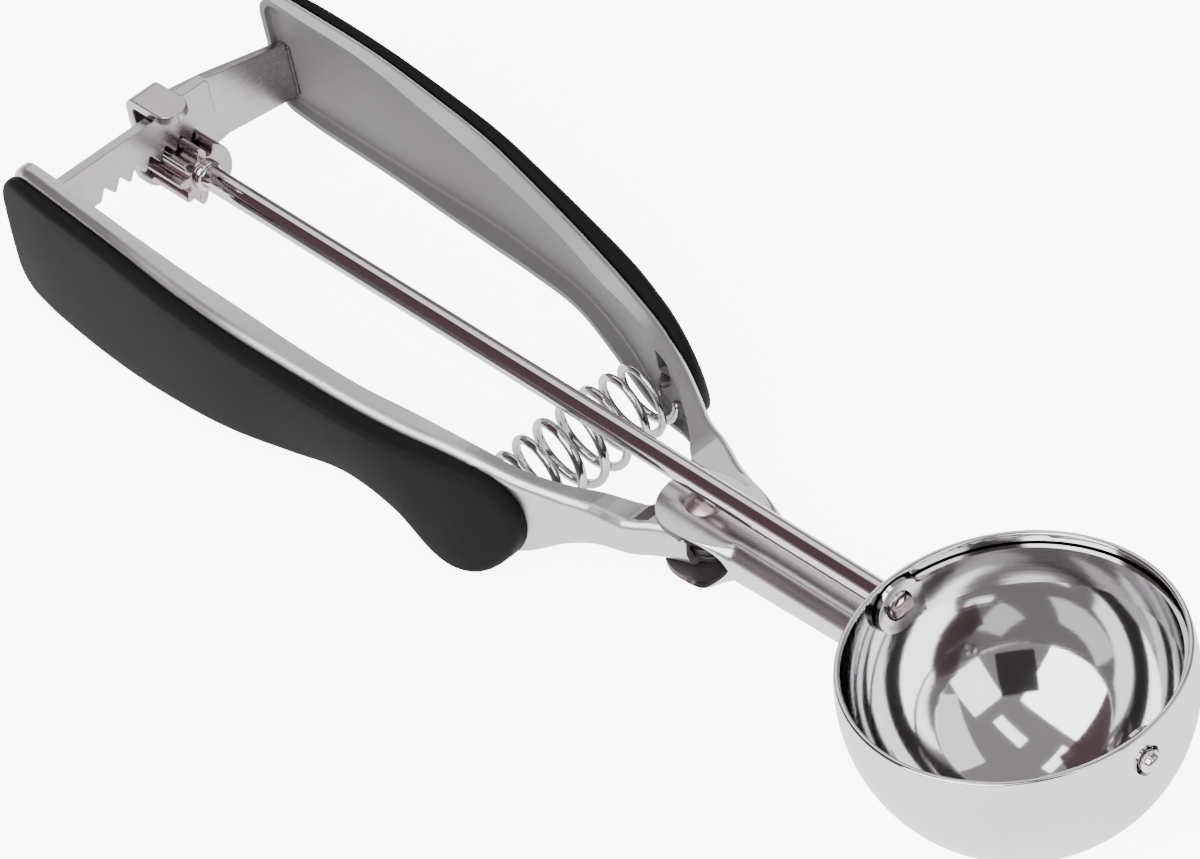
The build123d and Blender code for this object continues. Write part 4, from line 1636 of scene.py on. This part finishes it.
@dataclass
class Studio:
    """Floor, light and camera.

    Args:
        azimuth, elevation, roll: camera direction against the tool, in degrees.
        distance: distance from the aim point in millimetres.
        aim: aim point in the tool frame.
        focal: focal length in pixels of a picture that is width pixels wide.
        width: width of that picture.
        sensor: width of the camera's sensor in millimetres.
        clip: nearest and furthest distance that the camera sees, in metres.
        floor_half: half the floor's width in metres.
        floor_drop: how far it lies under the tool in metres.
        floor_glow: how bright reflections see the floor.
        floor_white: how bright the camera sees it.
        surroundings: how bright everything else is.
        haze: colour of the surroundings.
        boxes: the lamps.
        boards: the dark boards.
    """

    azimuth: float = 56.1
    elevation: float = 41.4
    roll: float = -12.6
    distance: float = 1061.0
    aim: tuple = (-88.66, -1.56, 0.0)
    focal: float = 7000.0
    width: float = 1200.0
    sensor: float = 36.0
    clip: tuple = (0.01, 50.0)
    floor_half: float = 6.0
    floor_drop: float = 0.0004
    floor_glow: float = 1.2
    floor_white: float = 8.0
    surroundings: float = 0.42
    haze: tuple = (1.0, 0.93, 0.94)
    boxes: tuple = (
        SoftBox("side_box", (0.0, -0.76, 0.84), (1.05, 0.95), 6.0),
        SoftBox("left_box", (0.85, 0.0, 0.72), (0.6, 0.46), 3.2),
        SoftBox("fill", (0.55, 0.62, 0.7), (0.9, 0.6), 1.5),
        SoftBox("window", (-0.95, 0.55, 0.8), (0.9, 0.8), 1.25),
        SoftBox("top_bar", (0.3, 0.02, 1.2), (0.5, 0.16), 4.0),
        SoftBox("back_bar", (-0.45, -0.05, 1.15), (0.16, 0.4), 4.0),
    )
    boards: tuple = (
        Board("dark_board", (-0.58, -0.36, 0.52), (0.62, 0.98), (0.07, 0.046, 0.049)),
        Board("dark_screen", (0.52, -0.39, 0.58), (0.38, 0.42), (0.03, 0.026, 0.027), upright=True),
    )

    def camera(self) -> None:
        """Places the camera."""
        a, e, r = (math.radians(v) for v in (self.azimuth, self.elevation, self.roll))
        fwd = -Vector((math.sin(a) * math.cos(e), -math.cos(a) * math.cos(e), math.sin(e)))
        level = Vector((math.cos(a), math.sin(a), 0.0))
        rise = level.cross(fwd)
        right = level * math.cos(r) + rise * math.sin(r)
        up = rise * math.cos(r) - level * math.sin(r)
        spot = Vector(self.aim) - fwd * self.distance
        turn = Matrix.Rotation(math.radians(-TOOL.tilt_deg), 3, "Y")
        cam = bpy.data.cameras.new("camera")
        cam.sensor_width = self.sensor
        cam.lens = self.sensor * self.focal / self.width
        cam.clip_start, cam.clip_end = self.clip
        obj = bpy.data.objects.new("camera", cam)
        bpy.context.scene.collection.objects.link(obj)
        axes = Matrix((turn @ right, turn @ up, turn @ -fwd)).transposed().to_4x4()
        obj.matrix_world = Matrix.Translation(TOOL.matrix() @ spot) @ axes
        bpy.context.scene.camera = obj

    def floor(self) -> None:
        """Lays the pale floor."""
        bm = bmesh.new()
        bmesh.ops.create_grid(bm, x_segments=1, y_segments=1, size=self.floor_half)
        mesh = bpy.data.meshes.new("floor")
        bm.to_mesh(mesh)
        bm.free()
        obj = bpy.data.objects.new("floor", mesh)
        obj.location.z = -self.floor_drop
        bpy.context.scene.collection.objects.link(obj)
        mat = bpy.data.materials.new("floor_white")
        mat.use_nodes = True
        tree = mat.node_tree
        shader = tree.nodes["Principled BSDF"]
        shader.inputs["Base Color"].default_value = (0.85, 0.85, 0.85, 1.0)
        shader.inputs["Roughness"].default_value = 0.9
        shader.inputs["Emission Color"].default_value = (1.0, 1.0, 1.0, 1.0)
        path = tree.nodes.new("ShaderNodeLightPath")
        level = tree.nodes.new("ShaderNodeMapRange")
        level.inputs["To Min"].default_value = self.floor_glow
        level.inputs["To Max"].default_value = self.floor_white
        tree.links.new(path.outputs["Is Camera Ray"], level.inputs["Value"])
        tree.links.new(level.outputs["Result"], shader.inputs["Emission Strength"])
        mesh.materials.append(mat)

    def build(self) -> None:
        """Builds floor, surroundings, lamps, boards and camera."""
        self.floor()
        world = bpy.data.worlds.new("studio")
        world.use_nodes = True
        background = world.node_tree.nodes["Background"]
        background.inputs["Color"].default_value = (*self.haze, 1.0)
        background.inputs["Strength"].default_value = self.surroundings
        bpy.context.scene.world = world
        for thing in (*self.boxes, *self.boards):
            thing.build()
        self.camera()


def dress_nodes() -> None:
    """Gives every CAD node the finish of the piece that stands for it."""
    chosen = {
        "bowl": BOWL_STEEL, "scraper_blade": BLADE_STEEL, "stem": STEM_STEEL, "drive_rod": ROD_STEEL,
        "blade_pin": ROD_STEEL, "fixed_handle": SHEET_STEEL, "lever_handle": SHEET_STEEL,
        "fixed_grip": GRIP_BLACK, "lever_grip": GRIP_BLACK, "rack": PLATE_STEEL,
        "guide_plate": PLATE_STEEL, "pinion": PINION_STEEL, "pivot_rivet": RIVET_STEEL,
        "return_spring": SPRING_STEEL,
    }
    for name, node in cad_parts.items():
        node.data.materials.clear()
        node.data.materials.append(chosen[name].build())
        log.info("finish %s", name)


def main() -> None:
    """Builds the pieces in order, then the studio."""
    logging.basicConfig(level=logging.INFO)
    dress_nodes()
    for part in (
        Handle(Side.FIXED, -7.0, -11.0, FIXED_NECK, neck_end=-65.0),
        Handle(Side.LEVER, -5.5, -12.5, LEVER_NECK),
        Grip(Side.FIXED), Grip(Side.LEVER), Bowl(), Blade(), Shaft(), Pinion(), Rack(), GuidePlate(),
        Stem(), Rivet(), Spring(), Welds(), Studio(),
    ):
        part.build()


if __name__ == "__main__":
    main()
